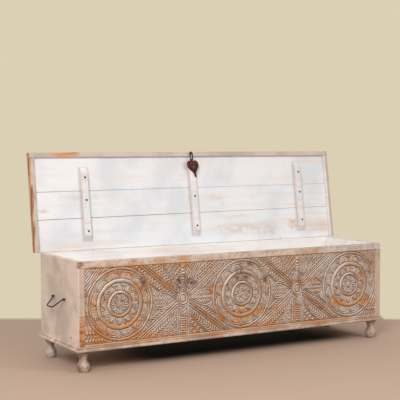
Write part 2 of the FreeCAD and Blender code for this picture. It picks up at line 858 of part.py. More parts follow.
def make_screws():
    """One countersunk screw through each batten into each lid board, nine in all."""
    screws = []
    head_height = size.screw_head_radius - size.screw_shank_radius
    rows = (
        (size.left_batten_place, size.left_screw_shift),
        (size.centre_batten_place, size.centre_screw_shift),
        (size.right_batten_place, size.right_screw_shift),
    )
    for x, shift in rows:
        for across in (size.rear_screw_place, size.middle_screw_place, size.front_screw_place):
            far = across + shift + size.hinge_barrel_radius
            start = Vector(x, -far, -size.batten_thickness)
            up = Vector(0, 0, 1)
            shank_radius = size.screw_shank_radius
            head = Part.makeCone(size.screw_head_radius, shank_radius, head_height, start, up)
            screws.append(head.fuse(rod(shank_radius, size.screw_length, start, up)).removeSplitter())
    return shaped("batten_screw_set", Part.makeCompound(screws), lid_spot)


def make_hinge_notches():
    """The two notches in the lid's rear edge that its hinges stand in."""
    notches = []
    for side_name, side in SIDES:
        corners = rectangle(
            ("-hinge_notch_width / 2", "-hinge_barrel_radius"),
            ("hinge_notch_width / 2", "0"),
        )
        notch = padded(f"hinge_notch_{side_name}", corners, "lid_board_thickness")
        place_on_lid(notch, x=f"{side} * hinge_spacing / 2")
        notches.append(notch)
    return notches


def make_lid_boards(fixings):
    """Three boards with slightly tapered joints, side by side along the lid."""
    first = ("rear_board_left_width", "rear_board_right_width")
    second = (
        "rear_board_left_width + middle_board_left_width",
        "rear_board_right_width + middle_board_right_width",
    )
    rear = (LID_REAR, LID_REAR)
    joint_one = tuple(f"{LID_REAR} - ({words})" for words in first)
    joint_two = tuple(f"{LID_REAR} - ({words})" for words in second)
    front = (STRIP_BACK, STRIP_BACK)
    rows = (
        ("lid_board_rear", rear, joint_one),
        ("lid_board_middle", joint_one, joint_two),
        ("lid_board_front", joint_two, front),
    )
    for name, back_line, front_line in rows:
        corners = [
            (f"-({INSIDE_STRIP})", back_line[0]),
            (f"-({INSIDE_STRIP})", front_line[0]),
            (INSIDE_STRIP, front_line[1]),
            (INSIDE_STRIP, back_line[1]),
        ]
        board = padded(name + "_stock", corners, "lid_board_thickness")
        place_on_lid(board)
        tools = fused(fixings[name], name + "_holes") if len(fixings[name]) > 1 else fixings[name][0]
        keep(cut(board, tools, name + "_drilled"), name)


def make_lid_rim(eye):
    """Strips round three edges of the lid, which drop past the case when it is closed."""
    height = "lid_board_thickness + rim_strip_drop"
    strips = (
        ("lid_rim_front", f"-({LID_HALF})", LID_HALF, LID_FRONT, STRIP_BACK),
        ("lid_rim_left", f"-({LID_HALF})", f"-({INSIDE_STRIP})", STRIP_BACK, LID_REAR),
        ("lid_rim_right", INSIDE_STRIP, LID_HALF, STRIP_BACK, LID_REAR),
    )
    for name, x_low, x_high, y_low, y_high in strips:
        strip = padded(name + "_stock", rectangle((x_low, y_low), (x_high, y_high)), height)
        along = 0 if name == "lid_rim_front" else 1
        outer_x = {"lid_rim_left": -1, "lid_rim_right": 1}.get(name)
        middle = strip.Tip.Shape.BoundBox.Center

        def outer_edge(edge):
            if not runs_along(edge, along):
                return False
            low = edge.CenterOfMass.z < middle.z
            if outer_x is None:
                return edge.CenterOfMass.y < middle.y or low
            return (edge.CenterOfMass.x - middle.x) * outer_x > 0 or low

        chamfered(strip, outer_edge, "rim_arris", kind="Fillet")
        place_on_lid(strip, z="-rim_strip_drop")
        if name == "lid_rim_front":
            strip = cut(strip, eye, name + "_bored")
        keep(strip, name)


def make_battens(screws):
    """Three battens across the lid boards, bevelled at both ends."""
    near = "-(batten_setback + hinge_barrel_radius)"
    for side_name, spot, length in BATTENS:
        far = f"-(batten_setback + {length} + hinge_barrel_radius)"
        name = f"lid_batten_{side_name}"
        corners = [
            (near, "0"),
            (far, "0"),
            (f"{far} + batten_bevel", "-batten_thickness"),
            (f"{near} - batten_bevel", "-batten_thickness"),
        ]
        batten = padded(name + "_stock", corners, "batten_width", role="YZ_Plane", midplane=True)

        def face_edge(edge):
            return runs_along(edge, 1) and edge.CenterOfMass.z < -size.batten_thickness / 2

        chamfered(batten, face_edge, "batten_arris", kind="Fillet")
        place_on_lid(batten, x=spot)
        keep(cut(batten, screws, name + "_drilled"), name)


# strap hinges with stop lugs, drawn about the hinge line with the lid closed

def knuckle(low, high, radius):
    """A length of barrel about the hinge line."""
    return rod(radius, high - low, Vector(low, 0, 0), Vector(1, 0, 0))


def plank(x_low, x_high, y_low, y_high, z_low, z_high):
    """A plain block between six planes."""
    return Part.makeBox(x_high - x_low, y_high - y_low, z_high - z_low, Vector(x_low, y_low, z_low))


def make_hinge_nails(across, along, direction):
    """Two domed nails through one strap, spaced along it."""
    nails = []
    for spot in along:
        start = across + spot
        head_foot = start + direction * -size.hinge_nail_head_height
        shank = rod(size.hinge_nail_radius, size.hinge_nail_length, start, direction)
        head = Part.makeCone(
            size.hinge_nail_head_radius / 2,
            size.hinge_nail_head_radius,
            size.hinge_nail_head_height,
            head_foot,
            direction,
        )
        nails.append(shank.fuse(head).removeSplitter())
    return nails


def make_lower_strap():
    """The fixed leaf: plate, two outer knuckles and the lugs that stop the lid."""
    half = size.hinge_width / 2
    third = size.hinge_width / 6
    radius = size.hinge_barrel_radius
    plate_back = size.hinge_plate - radius
    strap = plank(-half, half, -radius, plate_back, -size.hinge_lower_length, 0)
    strap = strap.cut(
        plank(-third - size.hinge_knuckle_gap, third + size.hinge_knuckle_gap,
              -radius * 2, radius * 2, -radius - size.hinge_knuckle_gap, radius)
    )
    angle = math.radians(size.lid_open_angle)

    def under_leaf(rise):
        """A point just under the lid's leaf when it is open, by its distance from the hinge."""
        y = plate_back * math.cos(angle) + rise * math.sin(angle)
        z = -plate_back * math.sin(angle) + rise * math.cos(angle) - size.hinge_stop_gap
        return Vector(0, y, z)

    lug_outline = [
        Vector(0, plate_back, -size.hinge_stop_drop),
        under_leaf(size.hinge_stop_reach) - Vector(0, 0, size.hinge_plate),
        under_leaf(size.hinge_stop_reach),
        under_leaf(radius + size.hinge_knuckle_gap * 2),
        Vector(0, 0, 0),
        Vector(0, plate_back, 0),
    ]
    lug_face = Part.Face(Part.makePolygon(lug_outline + lug_outline[:1]))
    for low, high in ((-half, -third - size.hinge_knuckle_gap), (third + size.hinge_knuckle_gap, half)):
        lug = moved(lug_face, x=low).extrude(Vector(high - low, 0, 0))
        strap = strap.fuse([knuckle(low, high, radius), lug])
    bore = knuckle(-half * 2, half * 2, size.hinge_pin_radius + size.hinge_pin_clearance)
    return strap.cut(bore).removeSplitter()


def make_upper_strap():
    """The moving leaf: middle knuckle, a leg up the lid's back edge and a plate over its top."""
    half = size.hinge_width / 2
    third = size.hinge_width / 6
    radius = size.hinge_barrel_radius
    plate_back = size.hinge_plate - radius
    top = size.lid_board_thickness + size.hinge_plate
    leg = plank(-half, half, -radius, plate_back, radius + size.hinge_knuckle_gap, top)
    web = plank(-third, third, -radius, plate_back, 0, radius + size.hinge_knuckle_gap)
    plate = plank(-half, half, -size.hinge_upper_length, plate_back, size.lid_board_thickness, top)
    strap = leg.fuse([web, plate, knuckle(-third, third, radius)])
    bore = knuckle(-half, half, size.hinge_pin_radius + size.hinge_pin_clearance)
    return strap.cut(bore).removeSplitter()


def make_hinge_pin():
    """A pin with a low head at both ends."""
    half = size.hinge_width / 2
    pin = knuckle(-half, half, size.hinge_pin_radius)
    heads = [
        knuckle(-half - size.hinge_pin_head, -half, size.hinge_barrel_radius - size.hinge_knuckle_gap),
        knuckle(half, half + size.hinge_pin_head, size.hinge_barrel_radius - size.hinge_knuckle_gap),
    ]
    return pin.fuse(heads).removeSplitter()


def make_hinge_nail_sets():
    """The nails of both hinges, those into the back board and those into the lid."""
    lower, upper = [], []
    nail_shares = (0.45, 0.85)
    low_ends = [Vector(0, 0, -size.hinge_lower_length * share) for share in nail_shares]
    high_ends = [Vector(0, -size.hinge_upper_length * share, 0) for share in nail_shares]
    for side in (-1, 1):
        x = side * size.hinge_spacing / 2
        lower_face = Vector(x, size.hinge_plate - size.hinge_barrel_radius, 0)
        upper_face = Vector(x, 0, size.lid_board_thickness + size.hinge_plate)
        lower += make_hinge_nails(lower_face, low_ends, Vector(0, -1, 0))
        upper += make_hinge_nails(upper_face, high_ends, Vector(0, 0, -1))
    fixed_spot = Placement(Vector(0, hinge_y, hinge_z), Rotation())
    return (
        shaped("lower_hinge_nail_set", Part.makeCompound(lower), fixed_spot),
        shaped("upper_hinge_nail_set", Part.makeCompound(upper), lid_spot),
    )


def make_hinges(lower_nails, upper_nails):
    """Two strap hinges on the back, each of two leaves and a pin."""
    for side_name, side in SIDES:
        x = side * size.hinge_spacing / 2
        fixed_spot = Placement(Vector(x, hinge_y, hinge_z), Rotation())
        moving_spot = Placement(Vector(x, hinge_y, hinge_z), lid_turn)
        lower = shaped(f"lower_strap_{side_name}_blank", make_lower_strap(), fixed_spot)
        upper = shaped(f"upper_strap_{side_name}_blank", make_upper_strap(), moving_spot)
        keep(cut(lower, lower_nails, f"lower_strap_{side_name}_nailed"), f"hinge_lower_strap_{side_name}")
        keep(cut(upper, upper_nails, f"upper_strap_{side_name}_nailed"), f"hinge_upper_strap_{side_name}")
        pin = shaped(f"pin_{side_name}_turned", make_hinge_pin(), fixed_spot)
        keep(pin, f"hinge_pin_{side_name}")


# hasp: an eye in the lid's front strip, a long link and a leaf-shaped plate

eye_y = -(lid_width - size.hasp_eye_setback + size.hinge_barrel_radius)
eye_z = -(size.rim_strip_drop + size.hasp_eye_drop)


def make_lid_eye():
    """The forged eye under the front strip that the link swings on."""
    bore = size.link_wire_radius + size.pivot_clearance
    length = size.eye_stem_length + size.hasp_eye_drop
    centre = Vector(0, eye_y, eye_z)
    eye = make_eye(centre, Vector(1, 0, 0), Vector(0, 0, 1), bore, length)
    return shaped("lid_eye_forged", eye, lid_spot)


def make_link():
    """A long link of round iron wire that lies along the lid, its two bars across it."""
    half = size.link_width / 2
    top, foot = eye_y, eye_y + size.link_length
    corners = [
        Vector(half, (top + foot) / 2, eye_z),
        Vector(half, top, eye_z),
        Vector(-half, top, eye_z),
        Vector(-half, foot, eye_z),
        Vector(half, foot, eye_z),
        Vector(half, (top + foot) / 2, eye_z),
    ]
    bend = half - size.eye_width / 2
    ring = wire_along(rounded_path(corners, [bend] * 4), size.link_wire_radius)
    return shaped("link_bent", ring, lid_spot)


def make_hasp_plate():
    """The leaf: a knuckle on the link, two lobes, a slanted slot and a tail bent to one side."""
    half = size.hasp_leaf_width / 2
    length = size.hasp_leaf_length
    tail = size.hasp_tail_length
    lobe_shares = (
        (0.28, 0.075),
        (0.57, 0.02),
        (0.87, 0.10),
        (1.0, 0.30),
        (0.90, 0.53),
        (0.60, 0.77),
        (0.27, 0.93),
    )
    shift_shares = ((0.0, 0.0), (0.25, 0.45), (0.6, 1.0))
    tail_side_shares = (0.13, 0.085, 0.09)
    shift = size.hasp_tail_shift / 2
    right = [Vector(half * across, length * down, 0) for across, down in lobe_shares]
    left = [Vector(-point.x, point.y, 0) for point in right]
    for (sideways, down), width_share in zip(shift_shares, tail_side_shares):
        right.append(Vector(shift * sideways + half * width_share, length + tail * down, 0))
        left.append(Vector(shift * sideways - half * width_share, length + tail * down, 0))
    neck = size.eye_width / 2
    notch = length * lobe_shares[0][1]
    right_edge, left_edge = Part.BSplineCurve(), Part.BSplineCurve()
    right_edge.interpolate(right)
    left_edge.interpolate(left[::-1])
    tip_middle = (right[-1] + left[-1]) / 2
    tip = Vector(tip_middle.x + half * tail_side_shares[0], tip_middle.y + half * tail_side_shares[0], 0)
    outline = Part.Wire(
        [
            right_edge.toShape(),
            Part.Arc(right[-1], tip, left[-1]).toShape(),
            left_edge.toShape(),
            Part.makeLine(left[0], Vector(-neck, notch, 0)),
            Part.makeLine(Vector(-neck, notch, 0), Vector(-neck, 0, 0)),
            Part.makeLine(Vector(-neck, 0, 0), Vector(neck, 0, 0)),
            Part.makeLine(Vector(neck, 0, 0), Vector(neck, notch, 0)),
            Part.makeLine(Vector(neck, notch, 0), right[0]),
        ]
    )
    slot_place_share = 0.42
    slot_half = size.hasp_slot_length / 2 - size.hasp_slot_width / 2
    slot_side = size.hasp_slot_width / 2
    slot = Part.Face(
        Part.Wire(
            [
                Part.makeLine(Vector(slot_side, -slot_half, 0), Vector(slot_side, slot_half, 0)),
                Part.Arc(
                    Vector(slot_side, slot_half, 0),
                    Vector(0, slot_half + slot_side, 0),
                    Vector(-slot_side, slot_half, 0),
                ).toShape(),
                Part.makeLine(Vector(-slot_side, slot_half, 0), Vector(-slot_side, -slot_half, 0)),
                Part.Arc(
                    Vector(-slot_side, -slot_half, 0),
                    Vector(0, -slot_half - slot_side, 0),
                    Vector(slot_side, -slot_half, 0),
                ).toShape(),
            ]
        )
    )
    slot.rotate(Vector(), Vector(0, 0, 1), -size.hasp_slot_angle)
    slot.translate(Vector(size.hasp_slot_shift, length * slot_place_share, 0))
    face = Part.Face(outline).cut(slot)
    plate = moved(face, z=-size.hasp_thickness / 2).extrude(Vector(0, 0, size.hasp_thickness))
    plate.rotate(Vector(), Vector(0, 0, 1), -size.hasp_lean)
    axis = Vector(1, 0, 0)
    barrel = rod(size.eye_radius, size.eye_width, axis * (-size.eye_width / 2), axis)
    bore = size.link_wire_radius + size.pivot_clearance
    hole = rod(bore, size.eye_width * 2, axis * -size.eye_width, axis)
    thick = size.hasp_thickness / 2
    lug = plank(-neck, neck, 0, notch + size.eye_radius, -thick, thick)
    plate = plate.fuse([barrel, lug]).cut(hole).removeSplitter()
    return shaped("hasp_forged", moved(plate, y=eye_y + size.link_length, z=eye_z), lid_spot)


# bails: a drop handle on each end board

def make_bail(side_name, side):
    """A bent wire handle whose ends turn outward through its two eyes."""
    inner = (size.bail_eye_spacing - size.eye_width) / 2 - size.bail_wire_radius * 2
    outer = (size.bail_eye_spacing + size.eye_width) / 2 + size.bail_end
    foot = size.bail_foot_width / 2
    corners = [
        Vector(0, outer, 0),
        Vector(0, inner, 0),
        Vector(0, foot, -size.bail_reach),
        Vector(0, -foot, -size.bail_reach),
        Vector(0, -inner, 0),
        Vector(0, -outer, 0),
    ]
    tight = size.bail_wire_radius * 2
    radii = [tight, size.bail_bend_radius, size.bail_bend_radius, tight]
    wire = wire_along(rounded_path(corners, radii), size.bail_wire_radius)
    spot = Vector(side * (case_half_length + size.bail_standoff), size.bail_shift, size.bail_height)
    turn = Rotation(Vector(0, 1, 0), -side * size.bail_angle)
    keep(shaped(f"{side_name}_bail_bent", wire, Placement(spot, turn)), f"{side_name}_bail")


def check_document():
    """Stop if any object failed or any finished sub-part is not a valid solid."""
    doc.recompute()
    for thing in doc.Objects:
        if {"Invalid", "Error"} & set(thing.State):
            raise RuntimeError(f"{thing.Label} failed: {thing.State}")
    for thing in parts:
        if thing.Shape.isNull() or not thing.Shape.isValid() or not thing.Shape.Solids:
            raise RuntimeError(f"{thing.Label} has no valid solid")


def main():
    """Build every sub-part, check it and write its STEP file."""
    floor_nails = make_floor_nails()
    left_eyes = make_bail_eyes("left_bail_eyes", -1)
    right_eyes = make_bail_eyes("right_bail_eyes", 1)
    lower_nails, upper_nails = make_hinge_nail_sets()
    screws = make_screws()
    lid_eye = make_lid_eye()

    make_end("left", -1, [left_eyes, floor_nails])
    make_end("right", 1, [right_eyes, floor_nails])
    make_back(lower_nails)
    make_rail()
    make_front()
    make_floor(floor_nails)
    make_plinth()

    fixings = {
        "lid_board_rear": [screws, upper_nails, *make_hinge_notches()],
        "lid_board_middle": [screws],
        "lid_board_front": [screws],
    }
    make_lid_boards(fixings)
    make_lid_rim(lid_eye)
    make_battens(screws)
    make_hinges(lower_nails, upper_nails)
    keep(floor_nails, "floor_nails")
    keep(left_eyes, "left_bail_eyes")
    keep(right_eyes, "right_bail_eyes")
    keep(lower_nails, "lower_hinge_nails")
    keep(upper_nails, "upper_hinge_nails")
    keep(screws, "batten_screws")
    keep(lid_eye, "lid_eye")
    keep(make_link(), "hasp_link")
    keep(make_hasp_plate(), "hasp_plate")
    for side_name, side in SIDES:
        make_bail(side_name, side)

    check_document()
    os.makedirs("parts", exist_ok=True)
    for thing in parts:
        thing.Shape.exportStep(f"parts/{thing.Label}.step")
        print(thing.Label, len(thing.Shape.Solids), round(thing.Shape.Volume, 1))


main()
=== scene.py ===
"""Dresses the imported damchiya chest: worn boards, the carved front, forged ironwork, and a plain studio.

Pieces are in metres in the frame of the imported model. The carving is drawn in millimetres, x along
the front from its middle and z up from the floor, and then set on the boards.
"""

import logging
import math
from dataclasses import dataclass, replace
from enum import Enum
from typing import Callable, Optional, Sequence, Union

import bmesh
import bpy
import numpy as np
from mathutils import Matrix, Vector


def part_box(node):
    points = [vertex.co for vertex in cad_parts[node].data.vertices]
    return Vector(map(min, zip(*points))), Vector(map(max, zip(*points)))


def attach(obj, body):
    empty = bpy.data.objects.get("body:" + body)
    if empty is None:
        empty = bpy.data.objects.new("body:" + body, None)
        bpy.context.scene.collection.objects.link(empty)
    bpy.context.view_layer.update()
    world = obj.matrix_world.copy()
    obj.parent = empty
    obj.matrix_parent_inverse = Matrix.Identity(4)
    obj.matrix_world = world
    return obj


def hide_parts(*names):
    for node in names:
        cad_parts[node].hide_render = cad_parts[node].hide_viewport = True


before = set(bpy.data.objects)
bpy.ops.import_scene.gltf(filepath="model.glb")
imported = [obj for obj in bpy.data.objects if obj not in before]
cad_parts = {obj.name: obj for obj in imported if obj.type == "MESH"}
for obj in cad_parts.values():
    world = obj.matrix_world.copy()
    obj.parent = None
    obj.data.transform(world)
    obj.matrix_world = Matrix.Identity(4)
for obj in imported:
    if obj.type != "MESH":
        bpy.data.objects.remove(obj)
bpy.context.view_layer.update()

log = logging.getLogger("damchiya chest")
Pair = tuple[float, float]
Triple = tuple[float, float, float]
Colour = tuple[float, float, float, float]
Spot = tuple[float, float, float, float, float]
Array = np.ndarray
MM = 0.001
SHORTEST_EASED = 0.012
FLAT_ANGLE = math.radians(0.4)
SHARP_ANGLE = math.radians(30)


class Body(Enum):
    """The bodies that the new pieces ride on."""

    CASE = "case"
    LID = "lid"
    HASP = "hasp"


class Slot(Enum):
    """The material slots of the record."""

    LIMEWASHED = "limewashed_wood"
    WHITE = "white_washed_wood"
    IRON = "dark_iron"


def paint(red: int, green: int, blue: int) -> Colour:
    """Turn a paint's screen values, 0 to 255, into the linear colour that shaders use.

    Args:
        red: screen value of the red share.
        green: screen value of the green share.
        blue: screen value of the blue share.

    Returns:
        The linear colour, opaque.
    """
    shares = [value / 255 for value in (red, green, blue)]
    low, slope, offset, power = 0.04045, 12.92, 0.055, 2.4
    linear = [s / slope if s <= low else ((s + offset) / (1 + offset)) ** power for s in shares]
    return (linear[0], linear[1], linear[2], 1.0)


# shader maths

Value = Union["Signal", float]
Key = Union[str, int]


class Signal:
    """A socket's value that is used in sums as a number is."""

    def __init__(self, bench: "Bench", socket: bpy.types.NodeSocket) -> None:
        """Hold the socket and the bench that its nodes stand on."""
        self.bench = bench
        self.socket = socket

    def __add__(self, other: Value) -> "Signal":
        """Sum."""
        return self.bench.sum("ADD", self, other)

    __radd__ = __add__

    def __mul__(self, other: Value) -> "Signal":
        """Product."""
        return self.bench.sum("MULTIPLY", self, other)

    __rmul__ = __mul__

    def __sub__(self, other: Value) -> "Signal":
        """Difference."""
        return self.bench.sum("SUBTRACT", self, other)

    def __rsub__(self, other: Value) -> "Signal":
        """Difference from a number."""
        return self.bench.sum("SUBTRACT", other, self)

    def __abs__(self) -> "Signal":
        """Size without its sign."""
        return self.bench.sum("ABSOLUTE", self)

    def between(self, low: float, high: float) -> "Signal":
        """Rise smoothly from 0 to 1 while the value goes from low to high.

        Args:
            low: value where the rise starts.
            high: value where it ends.

        Returns:
            The share, 0 to 1.
        """
        names = {"Value": self, "From Min": low, "From Max": high}
        node = self.bench.node("ShaderNodeMapRange", {"interpolation_type": "SMOOTHSTEP"}, names)
        return Signal(self.bench, node.outputs["Result"])

    def held(self) -> "Signal":
        """Keep the value from 0 to 1."""
        node = self.bench.node("ShaderNodeClamp", {}, {"Value": self})
        return Signal(self.bench, node.outputs["Result"])


class Bench:
    """The node tree of one material or of the air, and the ways that nodes are set on it."""

    def __init__(self, name: str, is_air: bool = False) -> None:
        """Start with an empty tree.

        Args:
            name: name of the material or of the air.
            is_air: whether the tree is that of the air around the scene.
        """
        self.owner = (bpy.data.worlds if is_air else bpy.data.materials).new(name)
        self.owner.use_nodes = True
        self.tree = self.owner.node_tree
        self.tree.nodes.clear()

    def node(self, kind: str, settings: dict[str, object], inputs: dict[Key, object]) -> bpy.types.Node:
        """Add a node.

        Args:
            kind: type of the node.
            settings: its properties, which are set first.
            inputs: value, signal or colour for each socket, by name or number.

        Returns:
            The node.
        """
        node = self.tree.nodes.new(kind)
        for name, setting in settings.items():
            setattr(node, name, setting)
        for name, value in inputs.items():
            if isinstance(value, Signal):
                self.tree.links.new(value.socket, node.inputs[name])
            else:
                node.inputs[name].default_value = value
        return node

    def sum(self, operation: str, *values: Value) -> Signal:
        """Add a Math node for one sum of numbers."""
        node = self.node("ShaderNodeMath", {"operation": operation}, dict(enumerate(values)))
        return Signal(self, node.outputs[0])

    def place(self) -> Signal:
        """The point on the piece, in the model's frame."""
        return Signal(self, self.node("ShaderNodeTexCoord", {}, {}).outputs["Object"])

    def axes(self, vector: Signal) -> tuple[Signal, Signal, Signal]:
        """The three shares of a vector."""
        node = self.node("ShaderNodeSeparateXYZ", {}, {0: vector})
        return tuple(Signal(self, node.outputs[index]) for index in range(3))

    def stretched(self, vector: Signal, factors: Sequence[float],
                  shift: Sequence[float] = (0, 0, 0)) -> Signal:
        """A vector scaled on each axis, then shifted.

        Args:
            vector: the vector.
            factors: its scale on each axis.
            shift: what is added on each axis.

        Returns:
            The new vector.
        """
        inputs = {0: vector, 1: tuple(factors), 2: tuple(shift)}
        node = self.node("ShaderNodeVectorMath", {"operation": "MULTIPLY_ADD"}, inputs)
        return Signal(self, node.outputs[0])

    def noise(self, vector: Signal, scale: float, detail: float, roughness: float = 0.55) -> Signal:
        """Cloudy noise about 0.5."""
        inputs = {"Vector": vector, "Scale": scale, "Detail": detail, "Roughness": roughness}
        return Signal(self, self.node("ShaderNodeTexNoise", {}, inputs).outputs[0])

    def streaks(self, vector: Signal, stretch: Sequence[float], detail: float,
                roughness: float = 0.55, shift: Sequence[float] = (0, 0, 0)) -> Signal:
        """Noise that is drawn out along the grain."""
        return self.noise(self.stretched(vector, stretch, shift), 1.0, detail, roughness)

    def attribute(self, name: str) -> Signal:
        """A number stored on the piece's points."""
        node = self.node("ShaderNodeAttribute", {"attribute_name": name}, {})
        return Signal(self, node.outputs["Fac"])

    def inside(self, soft: float, *margins: Signal) -> Signal:
        """1 where every margin is over 0, and 0 elsewhere, with soft edges.

        Args:
            soft: half width of the soft edges.
            margins: how far a point is inside each limit.

        Returns:
            The share, 0 to 1.
        """
        share = margins[0].between(-soft, soft)
        for margin in margins[1:]:
            share = share * margin.between(-soft, soft)
        return share

    def mix(self, share: Value, first: Union[Signal, Colour], second: Union[Signal, Colour]) -> Signal:
        """Blend two colours by a share of the second.

        Args:
            share: share of the second colour.
            first: first colour.
            second: second colour.

        Returns:
            The blend.
        """
        inputs = {0: share, 6: first, 7: second}
        node = self.node("ShaderNodeMix", {"data_type": "RGBA", "clamp_factor": True}, inputs)
        return Signal(self, node.outputs[2])

    def finish(self, colour: Signal, roughness: Value, height: Signal, depth: float,
               metallic: Value = 0.0) -> bpy.types.Material:
        """Join colour, roughness and fine relief to the shader.

        Args:
            colour: base colour.
            roughness: roughness of the surface.
            height: height of the fine relief, 0 to 1.
            depth: how deep that relief is, in metres.
            metallic: share of metal.

        Returns:
            The finished material.
        """
        bump = self.node("ShaderNodeBump", {}, {"Height": height, "Distance": depth, "Strength": 1.0})
        inputs = {
            "Base Color": colour,
            "Roughness": roughness,
            "Metallic": metallic,
            "Normal": Signal(self, bump.outputs[0]),
        }
        shader = self.node("ShaderNodeBsdfPrincipled", {}, inputs)
        self.node("ShaderNodeOutputMaterial", {}, {"Surface": Signal(self, shader.outputs[0])})
        return self.owner


def spread(x: Signal, y: Signal, half_x: float, half_y: float) -> Signal:
    """Square of the distance from an ellipse's middle, 1 on the ellipse."""
    far_x, far_y = x * (1 / half_x), y * (1 / half_y)
    return far_x * far_x + far_y * far_y


@dataclass(frozen=True)
class LidFrame:
    """Where the open lid leans, and the ways between its own directions and the model's."""

    sine: float = math.sin(math.radians(99.0))
    cosine: float = math.cos(math.radians(99.0))
    hinge_y: float = 0.2115
    hinge_z: float = 0.4655

    def on_lid(self, y: Value, z: Value) -> tuple[Value, Value]:
        """How far a depth and a height lie behind the lid's inner plane, and along it from the hinges."""
        away, rise = y - self.hinge_y, z - self.hinge_z
        return away * self.sine + rise * self.cosine, rise * self.sine - away * self.cosine

    def off_lid(self, behind: float, along: float) -> Pair:
        """The depth and the height, the other way round."""
        y = self.hinge_y + behind * self.sine - along * self.cosine
        return y, self.hinge_z + behind * self.cosine + along * self.sine


LID = LidFrame()


# finishes

@dataclass(frozen=True)
class WhiteWash:
    """Matt white wash, brushed along the boards, with pink-tan wood just showing."""

    white: Colour = paint(237, 238, 240)
    cool: Colour = paint(221, 225, 230)
    warm: Colour = paint(235, 222, 214)
    tan: Colour = paint(212, 178, 152)
    brush_stretch: Triple = (2.2, 38.0, 38.0)
    cloud_scale: float = 5.0
    tan_from: float = 0.56
    tan_to: float = 0.80

    def colour(self, bench: Bench, point: Signal, rubbed: Value = 0.0) -> tuple[Signal, Signal]:
        """Paint the wash.

        Args:
            bench: bench of the material.
            point: point on the piece.
            rubbed: how much further the wood shows through, 0 to 1.

        Returns:
            The colour, and the height of the brush marks.
        """
        brush = bench.streaks(point, self.brush_stretch, 6.0, 0.6)
        cloud = bench.noise(point, self.cloud_scale, 3.0)
        patch = bench.streaks(point, (3.0, 9.0, 9.0), 3.0, shift=(4.0, 1.0, 2.0))
        base = bench.mix(cloud.between(0.42, 0.68), self.white, self.cool)
        base = bench.mix(brush.between(0.45, 0.75) * 0.55, base, self.warm)
        bare = (patch * 0.6 + brush * 0.4 + rubbed * 0.16).between(self.tan_from, self.tan_to)
        return bench.mix(bare * 0.55, base, self.tan), brush


@dataclass(frozen=True)
class LimeWash:
    """Grey-beige lime wash, rubbed back to orange-brown wood."""

    wash: Colour = paint(235, 219, 206)
    wash_grey: Colour = paint(203, 189, 178)
    rosy: Colour = paint(226, 188, 160)
    wood: Colour = paint(206, 132, 72)
    deep: Colour = paint(148, 92, 56)
    grain: Triple = (3.0, 60.0, 60.0)
    bare_from: float = 0.58
    bare_to: float = 0.78
    speck_scale: float = 260.0

    def colour(self, bench: Bench, point: Signal, rubbed: Value = 0.0) -> tuple[Signal, Signal]:
        """Paint the wash and the wood that shows through it.

        Args:
            bench: bench of the material.
            point: point on the piece.
            rubbed: how much further it is rubbed back, 0 to 1.

        Returns:
            The colour, and the height of the grain.
        """
        grain = bench.streaks(point, self.grain, 6.0, 0.62)
        cloud = bench.noise(point, 7.0, 4.0)
        speck = bench.noise(point, self.speck_scale, 2.0)
        wash = bench.mix(cloud.between(0.40, 0.66), self.wash, self.wash_grey)
        wash = bench.mix((grain * 0.5 + speck * 0.5).between(0.42, 0.70) * 0.55, wash, self.rosy)
        wood = bench.mix(grain.between(0.40, 0.62), self.wood, self.deep)
        bare = grain * 0.45 + cloud * 0.25 + speck * 0.3 + rubbed * 0.3
        return bench.mix(bare.between(self.bare_from, self.bare_to), wash, wood), grain * 0.7 + speck * 0.3


@dataclass(frozen=True)
class CaseWood:
    """Lime wash outside the case and white wash inside it."""

    name: str
    grain: Triple
    stile: LimeWash = LimeWash(
        paint(198, 178, 162), paint(172, 158, 146), paint(204, 158, 122), grain=(24.0, 60.0, 60.0),
    )
    inside: WhiteWash = WhiteWash(paint(249, 246, 244), paint(240, 237, 236), paint(244, 230, 220))
    inner_half_length: float = 0.7755
    inner_front: float = -0.1860
    inner_back: float = 0.1880
    inner_floor: float = 0.1350
    rim: float = 0.4645
    top_edge: float = 0.462
    back_thickness: float = 0.0215
    front_face: float = -0.2069
    worn_below: float = 0.34
    ragged_depth: float = 0.006
    edge: float = 0.0006
    roughness: float = 0.78
    relief: float = 0.0006

    def material(self) -> bpy.types.Material:
        """Make the material of this finish.

        Returns:
            The finished material.
        """
        bench = Bench(self.name)
        point = bench.place()
        x, y, z = bench.axes(point)
        ragged = (bench.noise(point, 90.0, 2.0) - 0.5) * self.ragged_depth
        lime, grain = LimeWash(grain=self.grain).colour(bench, point)
        low = (self.worn_below - z).between(0.0, 0.20) * (x * -1.0).between(0.0, 0.1) * 0.7 + 0.25
        on_front = (self.front_face - y).between(-0.0004, 0.0004)
        lime = bench.mix(on_front, lime, self.stile.colour(bench, point, low)[0])
        white, brush = self.inside.colour(bench, point, 0.6)
        back = (z - self.top_edge).between(0.0, 0.001) * self.back_thickness + self.inner_back
        back_half = 1.0 - (y * -1.0).between(-0.001, 0.001)
        below_rim = self.rim - z + ragged + back_half * 0.01
        sides = (self.inner_half_length - abs(x), y - self.inner_front, back - y, z - self.inner_floor)
        within = bench.inside(self.edge, *sides, below_rim)
        colour = bench.mix(within, lime, white)
        return bench.finish(colour, self.roughness, grain * (1 - within) + brush * within, self.relief)


